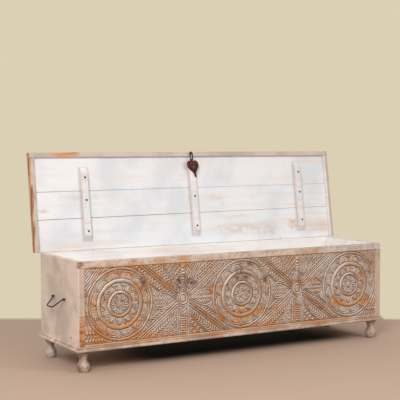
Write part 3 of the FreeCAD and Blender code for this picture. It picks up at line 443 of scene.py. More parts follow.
@dataclass(frozen=True)
class LidWood:
    """White wash under the lid, and lime wash over it and on its rim."""

    name: str = "lid_wood"
    grain: Triple = (3.0, 60.0, 60.0)
    brush: Triple = (2.2, 38.0, 38.0)
    inner_left: float = -0.8065
    inner_right: float = 0.8125
    inner_reach: float = 0.4255
    rubbed_side: float = -0.8215
    patch_at: float = -0.655
    patch_half: float = 0.10
    beside_batten: float = 0.034
    board_top: float = 0.0165
    edge: float = 0.0004
    crack_colour: Colour = paint(92, 70, 62)
    faint_crack: Colour = paint(176, 152, 140)
    tan_stain: Colour = paint(210, 172, 138)
    # colour of the painted shade behind the hasp's slot
    slot_shade: Colour = paint(70, 58, 50)
    # colour of the painted shade on the boards beside the battens
    batten_shade: Colour = paint(196, 184, 178)
    batten_tint: Colour = paint(226, 200, 188)
    battens: tuple[Triple, ...] = (
        (-0.567, 0.039, 0.379), (0.006, 0.039, 0.379), (0.630, 0.039, 0.393),
    )
    # the painted shade behind the slot: where it lies, how far it shifts with depth, and its half size
    slot_at: Triple = (0.0056, 0.38215, -0.0215)
    mark_drift: Pair = (0.584, 0.1325)
    mark_half: Pair = (0.0075, 0.0165)
    joint_width: float = 0.0012
    crack_width: float = 0.0007
    joints: tuple[Triple, ...] = ((0.151, 0.0087, 0.9), (0.274, 0.0050, 0.6))
    crack: tuple[float, float, float, float] = (0.354, 0.80, 0.2380, -0.0251)
    stains: tuple[Spot, ...] = (
        (0.585, 0.075, 0.034, 0.050, 0.85), (0.240, 0.066, 0.170, 0.034, 0.6),
        (0.430, 0.045, 0.120, 0.026, 0.5), (0.250, 0.120, 0.120, 0.020, 0.3),
        (-0.775, 0.185, 0.036, 0.012, 0.8), (-0.560, 0.240, 0.160, 0.016, 0.25),
    )
    outside: LimeWash = LimeWash(
        paint(208, 196, 186), paint(184, 174, 165), paint(214, 186, 162), paint(228, 172, 122),
    )
    roughness: float = 0.78
    relief: float = 0.0006

    def material(self) -> bpy.types.Material:
        """Make the material of this finish.

        Returns:
            The finished material.
        """
        bench = Bench(self.name)
        point = bench.place()
        x, y, z = bench.axes(point)
        up, across = LID.on_lid(y, z)
        outside = replace(self.outside, grain=self.grain)
        rubbed = (self.rubbed_side - x).between(-0.004, 0.005) * (0.008 - up).between(-0.003, 0.003) * 0.5
        rubbed = rubbed + (x * -1.0).between(0.25, 0.85) * 0.35
        front_strip = (across - self.inner_reach).between(0.0, 0.002)
        patch = (self.patch_half - abs(x - self.patch_at)).between(0.0, 0.1) * front_strip * 0.9
        lime, grain = outside.colour(bench, point, (rubbed + patch) * (1.0 - (x - 0.8).between(0.0, 0.01)))
        # the rim strip on the right painted greyer: painted shade
        lime = bench.mix((x - self.inner_right).between(0.0, 0.002) * 0.4, lime, outside.wash_grey)
        low = (0.20 - across).between(0.0, 0.2) * 0.5 + (x - 0.2).between(0.0, 0.5) * 0.3
        white, brush = WhiteWash(brush_stretch=self.brush).colour(bench, point, low)
        batten = (up * -1.0).between(0.0005, 0.0015)
        # painted shade on the boards beside the battens, then the joints and the crack
        white = self.cracked(bench, point, self.shaded_beside_battens(bench, x, across, white, 1.0 - batten), 1.0 - batten)
        streaks = bench.streaks(point, (7.0, 55.0, 55.0), 5.0)
        ragged = (streaks + bench.noise(point, 40.0, 4.0)).between(0.75, 1.2) * (1.0 - batten)
        for stain_x, stain_across, half_length, half_width, strength in self.stains:
            near = 1.1 - spread(x - stain_x, across - stain_across, half_length, half_width)
            white = bench.mix(near.between(-0.2, 1.4) * ragged * strength, white, self.tan_stain)
        white = bench.mix(batten * (streaks.between(0.45, 0.7) * 0.5 + 0.1), white, self.batten_tint)
        # painted shade behind the hasp's slot
        white = bench.mix(self.behind_the_hasp(x, across, up), white, self.slot_shade)
        under = bench.inside(self.edge, self.inner_right - x, x - self.inner_left,
                             self.inner_reach - across, self.board_top - up)
        colour = bench.mix(under, lime, white)
        return bench.finish(colour, self.roughness, grain * (1 - under) + brush * under, self.relief)

    def shaded_beside_battens(self, bench: Bench, x: Signal, across: Signal, white: Signal, boards: Signal) -> Signal:
        """The wash with painted shade on the boards beside the battens.

        Args:
            bench: bench of the material.
            x: place along the lid.
            across: distance from the hinges.
            white: colour of the wash.
            boards: 1 on the boards, 0 on the battens.

        Returns:
            The new colour.
        """
        for middle, first, last in self.battens:
            reach = (across - first).between(-0.008, 0.004) * (last - across).between(-0.008, 0.004)
            beside = (self.beside_batten - abs(x - middle)).between(0.0, 0.018)
            white = bench.mix(beside * reach * boards * 0.6, white, self.batten_shade)
        return white

    def cracked(self, bench: Bench, point: Signal, white: Signal, boards: Signal) -> Signal:
        """The wash with the wavering joints between the boards, and the crack in one of them.

        Args:
            bench: bench of the material.
            point: point on the piece.
            white: colour of the wash.
            boards: 1 on the boards, 0 on the battens.

        Returns:
            The new colour.
        """
        x, y, z = bench.axes(point)
        across = LID.on_lid(y, z)[1]
        wobble = (bench.streaks(point, (9.0, 0.0, 0.0), 2.0) - 0.5) * 0.0016
        dark = bench.mix(x.between(-0.3, 0.3), self.crack_colour, self.faint_crack)
        start, end, level, slope = self.crack
        along = (x - start).between(0.0, 0.12) * (end - x).between(0.0, 0.01) * 0.5
        lines = [(middle, lean, self.joint_width, strength, dark) for middle, lean, strength in self.joints]
        lines.append((level - start * slope, slope, self.crack_width, along, self.faint_crack))
        for middle, lean, width, strength, colour in lines:
            line = abs(across - middle - x * lean + wobble)
            white = bench.mix((width - line).between(-0.0006, 0.0006) * boards * strength, white, colour)
        return white

    def behind_the_hasp(self, x: Signal, across: Signal, up: Signal) -> Signal:
        """Painted shade on the batten and on the board above it, where the hollow behind the hasp's slot is
        dark; it shifts with depth so that it lies behind the slot as the camera sees it.

        Args:
            x: place along the lid.
            across: distance from the hinges.
            up: distance behind the lid's inner plane.

        Returns:
            Strength of the mark.
        """
        middle_x, middle_across, leaf_up = self.slot_at
        depth = up - leaf_up
        far_x = x - middle_x - depth * self.mark_drift[0]
        far_across = across - middle_across - depth * self.mark_drift[1]
        return (1.0 - spread(far_x, far_across, *self.mark_half)).between(0.0, 0.4) * 0.85


@dataclass(frozen=True)
class TurnedWood:
    """Grey lime wash on mouldings and turnings, patchy, and rubbed orange on the bellies."""

    name: str = "turned_wood"
    grain: Triple = (60.0, 60.0, 8.0)
    wash: Colour = paint(198, 185, 175)
    wash_grey: Colour = paint(124, 106, 93)
    rosy: Colour = paint(200, 156, 122)
    roughness: float = 0.45
    relief: float = 0.0006

    def material(self) -> bpy.types.Material:
        """Make the material of this finish.

        Returns:
            The finished material.
        """
        bench = Bench(self.name)
        point = bench.place()
        wash = LimeWash(wash=self.wash, wash_grey=self.wash_grey, rosy=self.rosy, grain=self.grain)
        patch = bench.noise(point, 24.0, 3.0)
        fleck = bench.noise(point, 70.0, 3.0)
        colour, grain = wash.colour(bench, point, patch.between(0.45, 0.7) * 0.7)
        colour = bench.mix((fleck * 0.6 + grain * 0.4).between(0.49, 0.60) * 0.7, colour, self.wash_grey)
        return bench.finish(colour, self.roughness, grain, self.relief)


@dataclass(frozen=True)
class CarvedWood:
    """Lime wash over carving: grey in pits, brown in cuts from soiling and painted shade, rubbed to orange
    wood on what stands up, with painted highlight on flanks turned to the light and painted shade on flanks
    turned from it.
    """

    name: str = "carved_wood"
    wash: Colour = paint(206, 197, 190)
    wash_dim: Colour = paint(172, 162, 155)
    # colour of the painted highlight on flanks turned to the light
    pale: Colour = paint(236, 232, 228)
    wood: Colour = paint(214, 168, 120)
    deep: Colour = paint(184, 136, 94)
    rich: Colour = paint(214, 134, 44)
    # colour of soiling and painted shade in the cuts and on flanks turned from the light
    dirt_and_shade: Colour = paint(66, 40, 24)
    soot: Colour = paint(78, 42, 26)
    # darker colour of the rings: old darkened wash, and painted shade away from the light
    aged_and_shaded: Colour = paint(142, 112, 88)
    grain: Triple = (5.0, 60.0, 60.0)
    inner_front: float = -0.1865
    bare_share: float = 0.08
    # shares of the painted highlight, and of the soiling and painted shade
    painted_highlight_share: float = 0.8
    dirt_and_shade_share: float = 0.85
    roughness: float = 0.72
    relief: float = 0.0005

    def material(self) -> bpy.types.Material:
        """Make the material of this finish.

        Returns:
            The finished material.
        """
        bench = Bench(self.name)
        point = bench.place()
        y = bench.axes(point)[1]
        grain = bench.streaks(point, self.grain, 6.0, 0.62)
        cloud = bench.noise(point, 9.0, 4.0)
        ragged = bench.noise(point, 60.0, 4.0)
        speck = bench.noise(point, 240.0, 2.0)
        rubbed, lit, aged_and_shaded = (bench.attribute(name) for name in ("rubbed", "lit", "aged_and_shaded"))
        wash = bench.mix((cloud + ragged).between(0.85, 1.2), self.wash, self.wash_dim)
        wood = bench.mix((grain * 0.6 + ragged * 0.4).between(0.42, 0.60), self.wood, self.deep)
        worn = (rubbed + (ragged - 0.5) * 1.4 + (cloud - 0.5) * 1.0).held()
        wood = bench.mix(worn.between(0.25, 0.85) * 0.85, wood, self.rich)
        bare = bench.attribute("crest") * 0.6 + bench.attribute("high") * 0.45 + worn * 0.7
        bare = bare + (speck + cloud - 1.0) * 0.9 + self.bare_share
        colour = bench.mix(bare.held() * 0.95, wash, wood)
        # rings darkened, less on the side towards the light: old darkened wash and painted shade
        colour = bench.mix(aged_and_shaded * (worn * -0.8 + 1.0).held(), colour, self.aged_and_shaded)
        # painted highlight on flanks turned to the light
        painted_highlight = (lit - 0.1).held() * (worn * -0.6 + self.painted_highlight_share) * (1.0 - aged_and_shaded * 1.1).held()
        colour = bench.mix(painted_highlight, colour, self.pale)
        # soiling and painted shade in the cuts, and painted shade on flanks turned from the light
        shade = bench.attribute("line") * 0.9 + (lit * -0.85).held()
        colour = bench.mix(shade.held() * self.dirt_and_shade_share, colour, self.dirt_and_shade)
        smoke = bench.attribute("soot") * (ragged * 3.2 - 0.7)
        colour = bench.mix(smoke.held(), colour, self.soot)
        inner = (y - self.inner_front).between(0.0, 0.0008)
        colour = bench.mix(inner, colour, WhiteWash().colour(bench, point, 0.6)[0])
        return bench.finish(colour, self.roughness, grain * 0.6 + speck * 0.4, self.relief)


@dataclass(frozen=True)
class ForgedIron:
    """Dark forged iron with rust in its hollows, washed over in front of a plane if one is given."""

    name: str
    dark: Colour = paint(38, 30, 27)
    brown: Colour = paint(66, 42, 34)
    rust: Colour = paint(112, 58, 36)
    rusty: float = 0.5
    wash: Colour = paint(222, 214, 206)
    washed_in_front_of: Optional[float] = None
    washed_behind: Optional[float] = None
    roughness: float = 0.62
    metallic: float = 0.35
    relief: float = 0.0005

    def material(self) -> bpy.types.Material:
        """Make the material of this finish.

        Returns:
            The finished material.
        """
        bench = Bench(self.name)
        point = bench.place()
        y = bench.axes(point)[1]
        cloud = bench.noise(point, 60.0, 4.0)
        speck = bench.noise(point, 420.0, 3.0)
        colour = bench.mix(cloud.between(0.35, 0.6), self.dark, self.brown)
        colour = bench.mix((cloud * 0.5 + speck * 0.5).between(0.45, 0.65) * self.rusty, colour, self.rust)
        metal: Value = self.metallic
        for plane, side in ((self.washed_in_front_of, -1.0), (self.washed_behind, 1.0)):
            if plane is not None:
                share = ((y - plane) * side).between(0.0, 0.001)
                colour = bench.mix(share * 0.95, colour, self.wash)
                metal = (1.0 - share) * metal
        rough = speck * 0.25 + self.roughness
        return bench.finish(colour, rough, cloud * 0.4 + speck * 0.6, self.relief, metal)


# mesh tools

def placed(name: str, data: bpy.types.ID) -> bpy.types.Object:
    """Put a new object in the scene.

    Args:
        name: name of the object.
        data: its mesh, lamp or camera.

    Returns:
        The object.
    """
    thing = bpy.data.objects.new(name, data)
    bpy.context.scene.collection.objects.link(thing)
    return thing


def meshed(work: bmesh.types.BMesh, name: str) -> bpy.types.Mesh:
    """Turn finished work into a mesh, and let the work go.

    Args:
        work: the finished work.
        name: name of the mesh.

    Returns:
        The mesh.
    """
    mesh = bpy.data.meshes.new(name)
    work.to_mesh(mesh)
    work.free()
    return mesh


def add_piece(name: str, mesh: bpy.types.Mesh, material: bpy.types.Material, body: Body,
              node: str) -> None:
    """Put a finished mesh in the scene as a piece of the chest.

    Args:
        name: name of the piece.
        mesh: its mesh, in the model's frame.
        material: its finish.
        body: the body that it rides on.
        node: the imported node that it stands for.
    """
    mesh.materials.clear()
    mesh.materials.append(material)
    piece = placed(name, mesh)
    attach(piece, body.value)
    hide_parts(node)
    log.info("%s: %d faces on %s", name, len(mesh.polygons), body.value)


def dress(material: bpy.types.Material, *words: str) -> None:
    """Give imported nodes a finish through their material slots.

    Args:
        material: the finish.
        words: what the names of the nodes hold, any one of them.
    """
    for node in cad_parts:
        if any(word in node for word in words):
            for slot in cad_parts[node].material_slots:
                slot.material = material
            log.info("%s: dressed in %s", node, material.name)


def eased_copy(node: str, width: float) -> bpy.types.Mesh:
    """Copy a packed board and take the sharpness off its long edges.

    Args:
        node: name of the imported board.
        width: how far the edges are taken back, in metres.

    Returns:
        The new mesh.
    """
    work = bmesh.new()
    work.from_mesh(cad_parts[node].data)
    bmesh.ops.remove_doubles(work, verts=work.verts, dist=1e-5)
    bmesh.ops.dissolve_limit(work, angle_limit=FLAT_ANGLE, verts=work.verts, edges=work.edges)
    sharp = [
        edge for edge in work.edges
        if len(edge.link_faces) == 2 and edge.calc_face_angle(0.0) > SHARP_ANGLE
        and edge.calc_length() > SHORTEST_EASED
    ]
    bmesh.ops.bevel(work, geom=sharp, offset=width, offset_type="OFFSET", segments=2, profile=0.5,
                    affect="EDGES", material=-1, clamp_overlap=True)
    return meshed(work, node + "_eased")


Relief = Callable[[Array, Array], dict[str, Array]]
Shift = Callable[[Array, Array], Array]


def relief_board(name: str, low: Vector, high: Vector, spacing: float, relief: Relief) -> bpy.types.Mesh:
    """Make a board whose front, to -Y, is cut by a relief.

    Args:
        name: name of the mesh.
        low: lowest corner of the board, in metres.
        high: highest corner.
        spacing: distance between the points of the cut face.
        relief: gives the depth in millimetres, and the other numbers to store, at points in millimetres.

    Returns:
        The closed mesh.
    """
    length, rise = high.x - low.x, high.z - low.z
    columns, rows = round(length / spacing), round(rise / spacing)
    work = bmesh.new()
    bmesh.ops.create_grid(work, x_segments=columns, y_segments=rows, size=0.5)
    middle = Matrix.Translation(((low.x + high.x) / 2, low.y, (low.z + high.z) / 2))
    stand = middle @ Matrix.Rotation(math.pi / 2, 4, "X") @ Matrix.Diagonal((length, rise, 1.0, 1.0))
    bmesh.ops.transform(work, matrix=stand, verts=work.verts)
    face_points, face_count = len(work.verts), len(work.faces)
    rim = [edge for edge in work.edges if edge.is_boundary]
    drawn = bmesh.ops.extrude_edge_only(work, edges=rim)["geom"]
    back = [item for item in drawn if isinstance(item, bmesh.types.BMVert)]
    for point in back:
        point.co.y = high.y
    back_edges = [edge for edge in work.edges if edge.verts[0] in set(back) and edge.verts[1] in set(back)]
    bmesh.ops.contextual_create(work, geom=back_edges)
    side_edges = [edge for point in back for edge in point.link_edges]
    bmesh.ops.dissolve_limit(work, angle_limit=math.radians(0.1), verts=back, edges=list(set(side_edges)))
    bmesh.ops.recalc_face_normals(work, faces=work.faces)
    mesh = meshed(work, name)
    set_relief(mesh, low.y, face_points, relief)
    smooth = np.zeros(len(mesh.polygons), bool)
    smooth[:face_count] = True
    mesh.polygons.foreach_set("use_smooth", smooth)
    mesh.update()
    return mesh


def set_relief(mesh: bpy.types.Mesh, front: float, face_points: int, relief: Relief) -> None:
    """Sink the points of a board's cut face, and store the relief's other numbers on them.

    Args:
        mesh: mesh of the board, the points of its cut face first.
        front: where its uncut front stands, in metres.
        face_points: how many points the cut face has.
        relief: the relief, as relief_board takes it.
    """
    spots = np.empty(len(mesh.vertices) * 3, np.float32)
    mesh.vertices.foreach_get("co", spots)
    spots = spots.reshape(-1, 3)
    numbers = relief(spots[:face_points, 0] / MM, spots[:face_points, 2] / MM)
    spots[:face_points, 1] = front + numbers.pop("depth") * MM
    mesh.vertices.foreach_set("co", spots.ravel())
    for label, values in numbers.items():
        stored = np.zeros(len(mesh.vertices), np.float32)
        stored[:face_points] = values
        mesh.attributes.new(label, "FLOAT", "POINT").data.foreach_set("value", stored)


# carving, drawn in millimetres

def ridge(distance: Array, half: float) -> Array:
    """A rounded ridge along a line: 1 on the line, 0 from half its width out."""
    return np.clip(1.0 - (distance / half) ** 2, 0.0, 1.0)


def step(value: Array, low: float, high: float) -> Array:
    """Rise smoothly from 0 to 1 while the value goes from low to high."""
    share = np.clip((value - low) / (high - low), 0.0, 1.0)
    return share * share * (3.0 - 2.0 * share)


def rows(value: Array) -> Array:
    """Rounded strokes, one to each whole number: 1 on a stroke, 0 between."""
    return 0.5 + 0.5 * np.cos(2.0 * math.pi * value)


def ripple(x: Array, z: Array, pitch: float) -> Array:
    """Slow unevenness of hand work, from -1 to 1.

    Args:
        x: places along the front, in millimetres.
        z: levels above the floor, in millimetres.
        pitch: length of the longest wave.

    Returns:
        The unevenness at each point.
    """
    turn = 2.0 * math.pi / pitch
    first = np.sin(x * turn + 1.3 * np.sin(z * turn * 0.7))
    second = np.sin(z * turn * 1.3 + 2.1 + np.sin(x * turn * 0.6))
    return (first + second) / 2.0


def pits(along: Array, across: Array, half: Pair, deep: float, shift: Shift) -> Array:
    """Height of a field of oval pits that lie in lanes.

    Args:
        along: place along the lanes, in pitches.
        across: place across them, in lanes.
        half: half length and half width of a pit, in pitches and lanes.
        deep: depth of a pit.
        shift: how far the pits lie further on, from the lane's number and the place across it.

    Returns:
        The height, 3 on what stands between the pits.
    """
    lane = np.floor(across)
    off = across - lane - 0.5
    place = (along + shift(lane, off)) % 1.0 - 0.5
    pit = np.sqrt(np.clip(1.0 - (place / half[0]) ** 2 - (off / half[1]) ** 2, 0.0, 1.0))
    return 3.0 - deep * pit ** 0.7


def scales(along: Array, across: Array) -> Array:
    """Height of a field of drop-shaped pits in staggered rows.

    Args:
        along: place along the rows, in millimetres.
        across: place across them.

    Returns:
        The height.
    """

    def shift(lane: Array, off: Array) -> Array:
        """Half a pitch in every other lane, and more towards a lane's sides."""
        return 0.5 * (lane % 2) + 0.5 * np.abs(off)

    return pits(along / 15.5, across / 12.0, (0.40, 0.38), 2.9, shift)


def braid(along: Array, across: Array) -> Array:
    """Height of a field of leaf-shaped cuts that lean one way in one row and the other way in the next.

    Args:
        along: place along the rows, in millimetres.
        across: place across them.

    Returns:
        The height.
    """

    def shift(lane: Array, off: Array) -> Array:
        """A lean that changes its side with the lane."""
        return np.where(lane % 2 == 0, 0.9, -0.9) * off

    return pits(along / 13.5, across / 16.0, (0.34, 0.46), 2.8, shift)


def rounding(distance: Array, radius: float) -> Array:
    """How far a rounded edge lies back, at a distance from the edge."""
    return radius - np.sqrt(np.clip(radius ** 2 - (radius - np.minimum(distance, radius)) ** 2, 0, None))


def outlined(height: Array, gap: Array, half: float, top: float = 3.8) -> Array:
    """Set a rounded ridge, with a deep cut on each side of it, on a height."""
    return np.where(np.abs(gap) < half + 2.8, 0.05 + top * ridge(gap, half) ** 0.7, height)


@dataclass(frozen=True)
class Ring:
    """A raised ring: its radius, half its width and its height."""

    radius: float
    half: float
    top: float

    def on(self, height: Array, radius: Array) -> Array:
        """Set the ring on a height."""
        return outlined(height, radius - self.radius, self.half, self.top)


@dataclass(frozen=True)
class Petals:
    """A ring of pointed petals with strokes inside them, and a lozenge between their tips."""

    count: int
    foot: float
    tip: float
    fullness: float = 0.92
    ray_angle: float = 0.36
    ray_depth: float = 9.0
    lozenge_half: Pair = (4.6, 7.5)

    def height(self, radius: Array, turn: Array) -> Array:
        """Height of the petals at distances and ways round from the medallion's middle.

        Args:
            radius: distances from the medallion's middle.
            turn: ways round it.

        Returns:
            The height.
        """
        share = turn * self.count / (2 * math.pi)
        pitch = 2 * math.pi / self.count * radius
        side = (share - np.round(share)) * pitch
        along = np.clip((radius - self.foot) / (self.tip - self.foot), 0.0, 1.0)
        widest = math.pi * (self.foot + self.tip) / 2 / self.count * self.fullness
        half = widest * np.sqrt(np.clip(1 - along ** 2, 0, 1)) * (0.55 + 0.45 * step(along, 0.0, 0.35))
        rays = 1.5 + 1.2 * rows(np.arctan2(side, radius - self.foot + self.ray_depth) / self.ray_angle)
        apart = np.abs(pitch / 2 - np.abs(side)) / self.lozenge_half[0]
        below = np.abs(radius - self.tip + 5.0) / self.lozenge_half[1]
        lozenge = 0.4 + 3.2 * step(1.0 - apart - below, 0.0, 0.45)
        height = np.where(np.abs(side) < half, rays, lozenge)
        return outlined(height, np.abs(side) - half, 2.1)


@dataclass(frozen=True)
class Medallion:
    """A ringed medallion: rosette, petals, thick ring, scallops and an outer ring."""

    full: float = 4.0
    rosette: float = 16.0
    rosette_petals: int = 6
    knob: float = 4.5
    inner_petals: Petals = Petals(8, 19.0, 42.0)
    inner_ring: Ring = Ring(50.5, 6.5, 4.2)
    petals: Petals = Petals(12, 55.0, 87.0)
    thick_ring: Ring = Ring(99.5, 8.5, 4.4)
    scallops: int = 12
    scallop_foot: float = 108.0
    scallop_crown: float = 140.0
    ray_angle: float = 0.36
    hatch_pitch: float = 9.5
    outer_ring: Ring = Ring(151.0, 4.6, 4.0)
    groove_half: float = 1.3
    groove_depth: float = 1.4
    reach: float = 158.0

    def height(self, p: Array, q: Array) -> Array:
        """Height of the carving at points about the medallion's middle.

        Args:
            p: how far to the right of the medallion's middle.
            q: how far above it.

        Returns:
            The height.
        """
        radius = np.hypot(p, q)
        turn = np.arctan2(p, q)
        wave = np.abs(np.cos(turn * self.rosette_petals / 2))
        lobe = self.rosette * (0.86 + 0.14 * wave)
        height = np.where(radius < lobe, 1.0 + 1.6 * wave, 1.4)
        height = np.maximum(height, 3.6 * ridge(radius, self.knob))
        height = np.where(radius > lobe, self.inner_petals.height(radius, turn), height)
        height = outlined(height, radius - lobe, 2.2)
        height = np.where(radius > self.inner_ring.radius, self.petals.height(radius, turn), height)
        height = np.where(radius > self.thick_ring.radius, self.scallop_ring(radius, turn, p + q), height)
        for ring in (self.inner_ring, self.thick_ring, self.outer_ring):
            height = ring.on(height, radius)
        groove = self.groove_depth * ridge(radius - self.outer_ring.radius, self.groove_half)
        return np.minimum(height, self.full) - groove

    def scallop_ring(self, radius: Array, turn: Array, slant: Array) -> Array:
        """Height of the scallops, each with its rays, and of the hatched corners between them.

        Args:
            radius: distances from the medallion's middle.
            turn: ways round it.
            slant: places across the hatching.

        Returns:
            The height.
        """
        share = turn * self.scallops / (2 * math.pi) + 0.5
        off = np.abs(share - np.round(share)) * 2
        side = (share - np.round(share)) * 2 * math.pi / self.scallops * radius
        rise = self.scallop_crown - self.scallop_foot
        crown = self.scallop_foot + rise * np.clip(1 - off ** 1.9, 0, 1) ** 0.55
        rays = 1.3 + 1.3 * rows(np.arctan2(side, radius - self.scallop_foot + 6.0) / self.ray_angle)
        hatch = 0.3 + 1.9 * rows(slant / self.hatch_pitch)
        height = np.where(radius < crown, rays, hatch)
        return outlined(height, (radius - crown) * np.where(off > 0.75, 0.75, 1.0), 2.8)


@dataclass(frozen=True)
class Boss:
    """An oval boss and what springs from it: fans, crossing bands, leaves, beads and pitted rows."""

    half_width: float = 23.5
    half_height: float = 26.5
    ring: float = 7.0
    slope_up: float = math.radians(37.8)
    slope_down: float = math.radians(36.2)
    band_offset: float = 5.2
    band_reach: float = 4.5
    start: float = 30.0
    arc_up: Triple = (20.0, 86.0, 1.3)
    arc_down: Triple = (25.0, 103.0, 2.1)
    brink_from: float = 36.0
    brink: Triple = (8.0, 0.22, 0.0025)
    fan_length: float = 116.0
    fan_half: float = 36.0
    fan_belly: float = 0.74
    fan_pitch: float = 13.2
    fan_sway: float = 4.8
    sway_pitch: float = 18.0
    almond: float = 52.0
    almond_half: float = 24.0
    chevron_pitch: float = 11.0
    bead_strip: float = 13.0
    beads: tuple[float, ...] = (88.0, 99.0, 111.0, 125.0, 140.0)
    bead_radius: float = 5.2
    leaf: float = 45.0
    leaf_half: float = 21.0
    leaf_pitch: float = 12.0
    column: float = 16.0
    column_pitch: float = 10.5
    rib: float = 27.5
    field_half: float = 159.0

    def height(self, p: Array, q: Array) -> Array:
        """Height of the carving at points about the boss's middle.

        Args:
            p: how far to the right of the boss's middle.
            q: how far above it.

        Returns:
            The height.
        """
        side, above = np.abs(p), q > 0
        height = self.ground(side, q)
        height = self.fan(side, q, height)
        height = np.where(above, self.almond_and_beads(p, q, height), self.leaf_and_column(side, q, height))
        oval = np.sqrt((p / self.half_width) ** 2 + (q / self.half_height) ** 2)
        out = (oval - 1.0) * self.half_width
        height = np.where(out < 0.0, 0.6 + 2.6 * step(-out, self.ring + 4.0, self.ring + 6.0), height)
        height = outlined(height, out + self.ring / 2, self.ring / 2)
        return outlined(height, out - 5.5, 1.8, 3.2)

    def bands(self, p: Array, q: Array) -> Array:
        """Where the crossing bands stand."""
        gap = self.from_band(np.abs(p), q)[1]
        return ridge(np.abs(gap) - self.band_offset, self.band_reach)

    def from_band(self, side: Array, q: Array) -> tuple[Array, Array]:
        """How far a point is along the middle of the crossing bands, and how far outside it.

        Args:
            side: how far to one side of the boss's middle.
            q: how far above it.

        Returns:
            Both distances, the second above 0 towards the upright leaves.
        """
        slope, level = np.where(q > 0, self.slope_up, self.slope_down), np.abs(q)
        sine, cosine = np.sin(slope), np.cos(slope)
        return side * cosine + level * sine, level * cosine - side * sine

    def ground(self, side: Array, q: Array) -> Array:
        """Height of the pitted rows, the arcs and the crossing bands.

        Args:
            side: how far to one side of the boss's middle.
            q: how far above it.

        Returns:
            The height.
        """
        above, level = q > 0, np.abs(q)
        along, gap = self.from_band(side, q)
        reach = np.clip(level / self.field_half, 0.0, 1.0)
        arcs = [first + more * reach ** power for first, more, power in (self.arc_up, self.arc_down)]
        arc = np.where(above, *arcs)
        within = arc - side
        upper = np.where(within > 0, scales(level, within), scales(along, gap))
        lower = np.where(within > 0, braid(level, within), braid(along, gap))
        height = np.where(above, upper, lower)
        past = np.clip(side - self.brink_from, 0.0, None)
        brink = level - self.brink[0] - self.brink[1] * past - self.brink[2] * past ** 2
        beside = np.where(above, scales(along, -gap), braid(along, -gap))
        hatch = 0.5 + 2.4 * rows((side + 0.7 * level) / self.chevron_pitch)
        height = np.where(gap < 0, np.where(brink > 0, beside, hatch), height)
        height = np.where(gap < 6.0, outlined(height, brink, 2.3), height)
        height = outlined(height, within, 2.9)
        height = np.where(above, outlined(height, arc * 0.55 + 7.0 - side, 2.0, 3.2), height)
        return outlined(height, np.abs(gap) - self.band_offset, 3.2, 3.9)

    def fan(self, side: Array, q: Array, height: Array) -> Array:
        """Set the side fans, with their wavy upright rows, on a height.

        Args:
            side: how far to one side of the boss's middle.
            q: how far above it.
            height: height of what is there already.

        Returns:
            The height with them on it.
        """
        along = np.clip((side - self.start) / self.fan_length, 0.0, 1.0)
        belly = self.fan_belly
        rising = np.sin(math.pi / 2 * np.clip(along / belly, 0, 1)) ** 1.1
        falling = np.sqrt(np.clip(1 - ((along - belly) / (1 - belly)) ** 2, 0, 1))
        edge = np.abs(q) - self.fan_half * np.where(along < belly, rising, falling)
        sway = self.fan_sway * np.cos(q * 2 * math.pi / self.sway_pitch)
        waves = 0.4 + 2.9 * rows((side + sway) / self.fan_pitch)
        inside = np.where(edge > -8.0, 1.9, waves)
        inside = np.where(np.abs(q) < 1.6, np.maximum(inside, 2.6), inside)
        drawn = outlined(inside, edge, 3.0)
        within = (edge < 5.4) & (side > self.start) & (side < self.start + self.fan_length + 3.0)
        return np.where(within, drawn, height)

    def almond_and_beads(self, p: Array, q: Array, height: Array) -> Array:
        """Set the arched leaf and the row of flat beads above the boss on a height.

        Args:
            p: how far to the right of the boss's middle.
            q: how far above it.
            height: height of what is there already.

        Returns:
            The height with them on it.
        """
        side = np.abs(p)
        strip = (q > self.start + self.almond) & (side < self.bead_strip)
        height = np.where(strip, 0.4, height)
        for level in self.beads:
            ball = ridge(np.hypot(p * 0.5, q - level), self.bead_radius)
            height = np.where(ball > 0, 0.3 + 3.7 * np.sqrt(ball), height)
        rise = np.clip((q - self.start + 6.0) / (self.almond + 6.0), 0.0, 1.0)
        edge = side - self.almond_half * np.sqrt(np.clip(1 - rise ** 3.0, 0, 1))
        chevrons = 0.5 + 2.8 * rows((q + 0.7 * side) / self.chevron_pitch)
        drawn = outlined(np.where(edge > -5.5, 1.6, chevrons), edge, 2.6)
        return np.where((edge < 4.2) & (q < self.start + self.almond + 2.0), drawn, height)

    def leaf_and_column(self, side: Array, q: Array, height: Array) -> Array:
        """Set the squarish leaf and the ribbed column below the boss on a height.

        Args:
            side: how far to one side of the boss's middle.
            q: how far above it.
            height: height of what is there already.

        Returns:
            The height with them on it.
        """
        foot = -(self.start + self.leaf)
        column = (side < self.rib) & (q < -self.start + 6.0)
        ribs = np.where(side < self.column, 0.5 + 2.6 * rows(q / self.column_pitch), 1.2)
        height = np.where(column, ribs, height)
        height = np.where(column & (q < foot), outlined(height, side - self.column - 1.0, 2.2, 3.4), height)
        down = np.clip((-q - self.start + 8.0) / (self.leaf + 8.0), 0.0, 1.0)
        edge = side - self.leaf_half * np.sqrt(np.clip(1 - down ** 6, 0, 1))
        strokes = 0.5 + 2.8 * rows((q * 0.9 - side * 0.8) / self.leaf_pitch)
        drawn = outlined(np.where(edge > -5.0, 1.6, strokes), edge, 2.2)
        height = np.where((edge < 3.9) & (q > foot - 2.0), drawn, height)
        return np.where(q < -self.start * 1.2, outlined(height, side - self.rib, 2.4), height)


